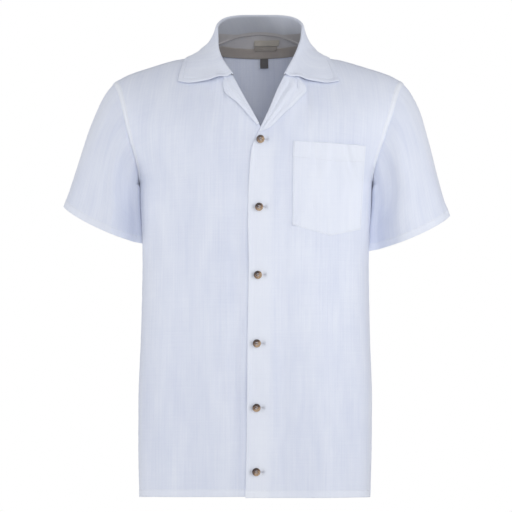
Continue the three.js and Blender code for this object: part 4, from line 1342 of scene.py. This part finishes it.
# Piece, node, cloth, slot, place and size of each blank label, and its depth inside the back
LABELS = [
    ("upper_label", "neck_label_upper", label_cloth, "label", 13, 4.6, 44, 9, 3.4),
    ("lower_label", "neck_label_lower", ribbon_cloth, "label", 12.5, -4.1, 40, 6.8, 4.0),
    ("small_tab", "size_tab", tab_cloth, "size_tab", 12, -28, 14, 16, 4.4),
]


def neck_labels():
    for name, node, finish, slot, centre, middle, width, height, depth in LABELS:
        x = centre + np.linspace(-0.5, 0.5, 30)[None, :] * width
        z = middle + np.linspace(-0.5, 0.5, 12)[:, None] * height
        x, z = x + 0 * z, z + 0 * x
        curl = 0.5 * ripple(x, z, 12, 9, 150)
        neck_cloth(name, finish, slot, node, x, z, depth + 0.6 - curl, depth - curl, GRAIN["labels"])


stand_facing()
neck_facing()
neck_tape()
neck_labels()


# Buttons

BUTTON = dict(radius=6.6, thick=2.7, rim=1.2, dish=0.75, hole=0.75, spacing=1.45, stand=0.5)


def add_cylinder(radius, height, place, sides):
    """An upright cylinder, with its place kept in its mesh."""
    spot = [v * MM for v in place]
    bpy.ops.object.select_all(action="DESELECT")
    bpy.ops.mesh.primitive_cylinder_add(vertices=sides, radius=radius * MM, depth=height * MM, location=spot)
    bpy.ops.object.transform_apply(location=True, rotation=True, scale=True)
    return bpy.context.object


def apply_modifier(piece, modifier):
    bpy.context.view_layer.objects.active = piece
    bpy.ops.object.modifier_apply(modifier=modifier.name)


def button_pattern():
    """One button, face up, with its middle at the origin: a rimmed, dished disc with four holes."""
    thick, spacing = BUTTON["thick"], BUTTON["spacing"]
    button = add_cylinder(BUTTON["radius"], thick, (0, 0, thick / 2), 48)
    bpy.ops.object.mode_set(mode="EDIT")
    bpy.ops.mesh.select_mode(type="FACE")
    bpy.ops.mesh.select_all(action="DESELECT")
    bpy.ops.object.mode_set(mode="OBJECT")
    for face in button.data.polygons:
        face.select = face.normal.z > 0.9
    bpy.ops.object.mode_set(mode="EDIT")
    for inset, drop in ((BUTTON["rim"], 0), (0.9, BUTTON["dish"]), (1.2, 0.1)):
        bpy.ops.mesh.inset(thickness=inset * MM, depth=-drop * MM)
    bpy.ops.object.mode_set(mode="OBJECT")
    for x, y in itertools.product((-spacing, spacing), repeat=2):
        drill = add_cylinder(BUTTON["hole"], 12, (x, y, 0), 16)
        cut = button.modifiers.new("hole", "BOOLEAN")
        cut.operation = "DIFFERENCE"
        cut.solver = "EXACT"
        cut.object = drill
        apply_modifier(button, cut)
        bpy.data.objects.remove(drill, do_unlink=True)
    bevel = button.modifiers.new("soft_edges", "BEVEL")
    bevel.width = 0.22 * MM
    bevel.segments = 2
    bevel.limit_method = "ANGLE"
    bevel.angle_limit = math.radians(28)
    apply_modifier(button, bevel)
    layer = button.data.uv_layers.active or button.data.uv_layers.new(name="cloth")
    layer.name = "cloth"
    for loop in button.data.loops:
        spot = button.data.vertices[loop.vertex_index].co
        layer.data[loop.index].uv = (spot.x, spot.y)
    return button


def place_on_front(source, name, x, z, height, turn=0.0, tilt=0.0):
    """A copy of a small piece, face out on the front at x, z, with its place in its mesh."""
    copy = source.copy()
    copy.data = source.data.copy()
    copy.name = name
    copy.data.name = name
    bpy.context.collection.objects.link(copy)
    x, z = np.array(x, float), np.array(z, float)
    spot = hung(front_skin(x, z))
    normal = skin_normal(front_skin, x, z, -1)
    out = Vector(normal)
    up = Vector((0, 0, 1))
    side = up.cross(out).normalized()
    up = out.cross(side).normalized()
    turned = Matrix((side, up, out)).transposed().to_4x4()
    turned = turned @ Matrix.Rotation(turn, 4, "Z") @ Matrix.Rotation(tilt, 4, "Y")
    place = Matrix.Translation(Vector((spot + normal * height) * MM)) @ turned
    copy.data.transform(place)
    copy.data.update()
    return copy


def strand(start, stop, thick, sag=0.0, sides=6, rings=7):
    """Points and faces of a short thread from start to stop, its middle raised by sag along z."""
    start, stop = np.array(start, float), np.array(stop, float)
    way = unit(stop - start)
    side = unit(np.cross(way, [0.13, 0.2, 1.0]))
    up = np.cross(side, way)
    t = np.linspace(0, 1, rings)
    rise = np.array([0, 0, 1.0]) * (sag * np.sin(np.pi * t))[:, None]
    middle = start + (stop - start) * t[:, None] + rise
    angle = np.arange(sides) * 2 * np.pi / sides
    slim = thick / 2 * np.where((t == 0) | (t == 1), 0.35, 1)
    circle = np.cos(angle)[None, :, None] * side + np.sin(angle)[None, :, None] * up
    verts = (middle[:, None, :] + circle * slim[:, None, None]).reshape(-1, 3)
    index = np.arange(rings * sides).reshape(rings, sides)
    after = np.roll(index, -1, axis=1)
    quads = np.stack([index[:-1], after[:-1], after[1:], index[1:]], axis=-1).reshape(-1, 4)
    caps = [index[0][::-1], index[-1]]
    return verts, quads, caps


def joined_strands(name, strands):
    verts, faces, made = [], [], 0
    for spots, quads, caps in strands:
        verts.append(spots)
        faces += (quads + made).tolist() + [(cap + made).tolist() for cap in caps]
        made += len(spots)
    mesh = bpy.data.meshes.new(name)
    mesh.from_pydata((np.concatenate(verts) * MM).tolist(), [], faces)
    mesh.polygons.foreach_set("use_smooth", np.ones(len(mesh.polygons), bool))
    piece = bpy.data.objects.new(name, mesh)
    bpy.context.collection.objects.link(piece)
    return piece


def button_threads():
    """Two bars of thread through the four holes, and the shank below."""
    top = BUTTON["thick"] - BUTTON["dish"] - 0.2
    spacing = BUTTON["spacing"]
    strands = []
    for row, aside in itertools.product((-spacing, spacing), (-0.22, 0.22)):
        y = row + aside
        strands.append(strand((-1.6, y, top - 0.6), (1.6, y, top - 0.6), 0.42, 1.0))
    for i, j in itertools.product((-1, 1), repeat=2):
        strands.append(strand((i * 1.2, j * 1.2, -0.4), (i * spacing, j * spacing, top), 0.6))
    return joined_strands("threads", strands)


def buttonhole():
    """Close stitches round a slit, laid flat at z = 0, running towards +x from the button."""
    length, half, count = 14, 1.25, 28
    ends = []
    for k in range(count):
        x = (k + 0.5) / count * length
        for side in (-1, 1):
            ends.append(((x, 0), (x + 0.1, side * half)))
    for end, way in ((0, -1), (length, 1)):
        for k in range(5):
            y = lerp(-half, half, k / 4)
            ends.append(((end - way * 0.2, y * 0.9), (end + way * 0.9, y)))
    strands = [strand((*start, -0.22), (*stop, -0.26), 0.42, 0.06, 4, 4) for start, stop in ends]
    return joined_strands("buttonhole", strands)


def fasten():
    """The six buttons, each turned a little on its thread and the top one tilted, with their buttonholes."""
    pattern, threads, hole = button_pattern(), button_threads(), buttonhole()
    turns = [0.15, -0.1, 0.3, 0.05, -0.25, 0.12]
    for k, ((x, z), turn) in enumerate(zip(BUTTONS, turns), 1):
        place = x, z, BUTTON["stand"], turn, 0.3 if k == 1 else 0.0
        piece_done(place_on_front(pattern, f"horn_button_{k}", *place), horn, "horn", f"button_{k}")
        piece_done(place_on_front(threads, f"button_thread_{k}", *place), thread, "linen")
        piece_done(place_on_front(hole, f"buttonhole_{k}", x - 1, z, 0.12), thread, "linen")
    for source in (pattern, threads, hole):
        bpy.data.objects.remove(source, do_unlink=True)


fasten()


# Sewing

STITCH_SIDES = np.array([[1, 0.9], [-1, 0.9], [-1, -0.6], [1, -0.6]])
STITCH_PITCH, STITCH_LENGTH, STITCH_THICK = 3.1, 2.35, 0.5
# Sections of one stitch: share of its length, share of its thickness, and height; its ends dip into the cloth
STITCH_SECTIONS = [(-0.5, 0.15, -0.22), (-0.3, 0.9, 0.04), (0.3, 0.9, 0.04), (0.5, 0.15, -0.22)]


def stitch_faces():
    faces = []
    for start in (0, 4, 8):
        for k in range(4):
            after = (k + 1) % 4
            faces.append([start + k, start + after, start + 4 + after, start + 4 + k])
    return np.array(faces + [[3, 2, 1, 0], [12, 13, 14, 15]])


def stitched(name, lines):
    """Rows of short raised stitches along lines on the cloth, joined as one piece."""
    one = stitch_faces()
    verts, faces, made = [], [], 0
    for line, ways in lines:
        lengths = run(line, 0)
        centres = np.arange(STITCH_PITCH / 2, lengths[-1], STITCH_PITCH)
        if not len(centres):
            continue
        normal = unit(read_line(ways, lengths, centres))
        way = unit(read_line(line, lengths, centres + 0.4) - read_line(line, lengths, centres - 0.4))
        side = unit(np.cross(normal, way))
        place = read_line(line, lengths, centres) + normal * 0.16
        corners = []
        for share, slim, rise in STITCH_SECTIONS:
            centre = place + way * STITCH_LENGTH * share + normal * rise
            for a, b in STITCH_SIDES * STITCH_THICK / 2 * slim:
                corners.append(centre + side * a + normal * b)
        verts.append(np.stack(corners, axis=1).reshape(-1, 3))
        firsts = made + 16 * np.arange(len(centres))
        faces.append((one[None] + firsts[:, None, None]).reshape(-1, 4))
        made += 16 * len(centres)
    piece_done(new_mesh(name, hung(np.concatenate(verts)), np.concatenate(faces)), thread, "linen")


def panel_lines(part, sides, rows=slice(None)):
    """Stitch lines along a panel's hem, and two beside each of its seams at the sides."""
    outer, normals = part["outer"], part["normals"]
    lines = [at_distance(outer, normals, part["down"], HEM_STITCH, 0)]
    for inside in SEAM_STITCHES:
        for from_side in sides:
            lines.append(at_distance(outer[rows], normals[rows], from_side[rows], inside, 1))
    return lines


def sew_panels():
    fronts = []
    for part in (left, right):
        from_side = part["across"][:, -1:] - part["across"]
        fronts += panel_lines(part, [from_side], slice(UNDERARM_ROW + 1, None))
    stitched("front_sewing", fronts)
    from_left = back["across"]
    stitched("back_sewing", panel_lines(back, [from_left[:, -1:] - from_left, from_left]))


def sew_sleeves():
    for name, part in (("right_sleeve_sewing", sleeve_right), ("left_sleeve_sewing", sleeve_left)):
        line, ways = at_distance(part["outer"], part["normals"], part["from_hem"], HEM_STITCH, 0)
        stitched(name, [(np.append(line, line[:1], axis=0), np.append(ways, ways[:1], axis=0))])


def sew_collar():
    """One line along the outer edge of the fall, and one up each of the collar's ends."""
    outer, normals, from_edge, from_end = (collar[k] for k in ("outer", "normals", "from_edge", "from_end"))
    fall = slice(STAND_POINTS + ARC_POINTS + 6, None)
    line, ways = at_distance(outer[:, fall], normals[:, fall], from_edge[:, fall], COLLAR_STITCH, 1)
    ends = [np.interp(COLLAR_STITCH, edge[::-1], end[::-1]) for edge, end in zip(from_edge, from_end)]
    inside = np.array(ends) > COLLAR_STITCH
    rows = [(line[inside], ways[inside])]
    chosen = (from_edge[0] > COLLAR_STITCH) & (np.arange(outer.shape[1]) > STAND_POINTS + ARC_POINTS + 1)
    half = outer.shape[0] // 2
    for part in (slice(0, half), slice(half, None)):
        line, ways = at_distance(outer[part], normals[part], from_end[part], COLLAR_STITCH, 0)
        rows.append((line[chosen], ways[chosen]))
    stitched("collar_sewing", rows)


def sew_pocket():
    face = pocket["top"], pocket["normals"]
    sides = [(pocket["width"], inside, 1) for inside in (POCKET_STITCH, POCKET_WIDTH - POCKET_STITCH)]
    ends = [(pocket["height"], inside, 0) for inside in (POCKET_HEIGHT - POCKET_STITCH, POCKET_BAND)]
    stitched("pocket_sewing", [at_distance(*face, *place) for place in sides + ends])


sew_panels()
sew_sleeves()
sew_collar()
sew_pocket()


# The label pieces, looked up by name


def declare_cloth():
    pieces = bpy.data.objects
    labels = [pieces[name] for name, *_ in LABELS]


declare_cloth()


# Floor

def add_floor():
    bpy.ops.object.select_all(action="DESELECT")
    bpy.ops.mesh.primitive_circle_add(vertices=96, radius=3.0, fill_type="NGON", location=(0, 0, -1.45))
    floor = bpy.context.object
    floor.name = "floor"
    bpy.ops.object.transform_apply(location=True, rotation=True, scale=True)
    finish = Finish("pale_floor", roughness=0.9)
    speck = finish.noise(finish.object_place(), 3.0, 4.0)
    finish.set("Base Color", finish.mix(speck, (0.8, 0.8, 0.8), (0.86, 0.86, 0.86)))
    floor.data.materials.append(finish.material)


add_floor()
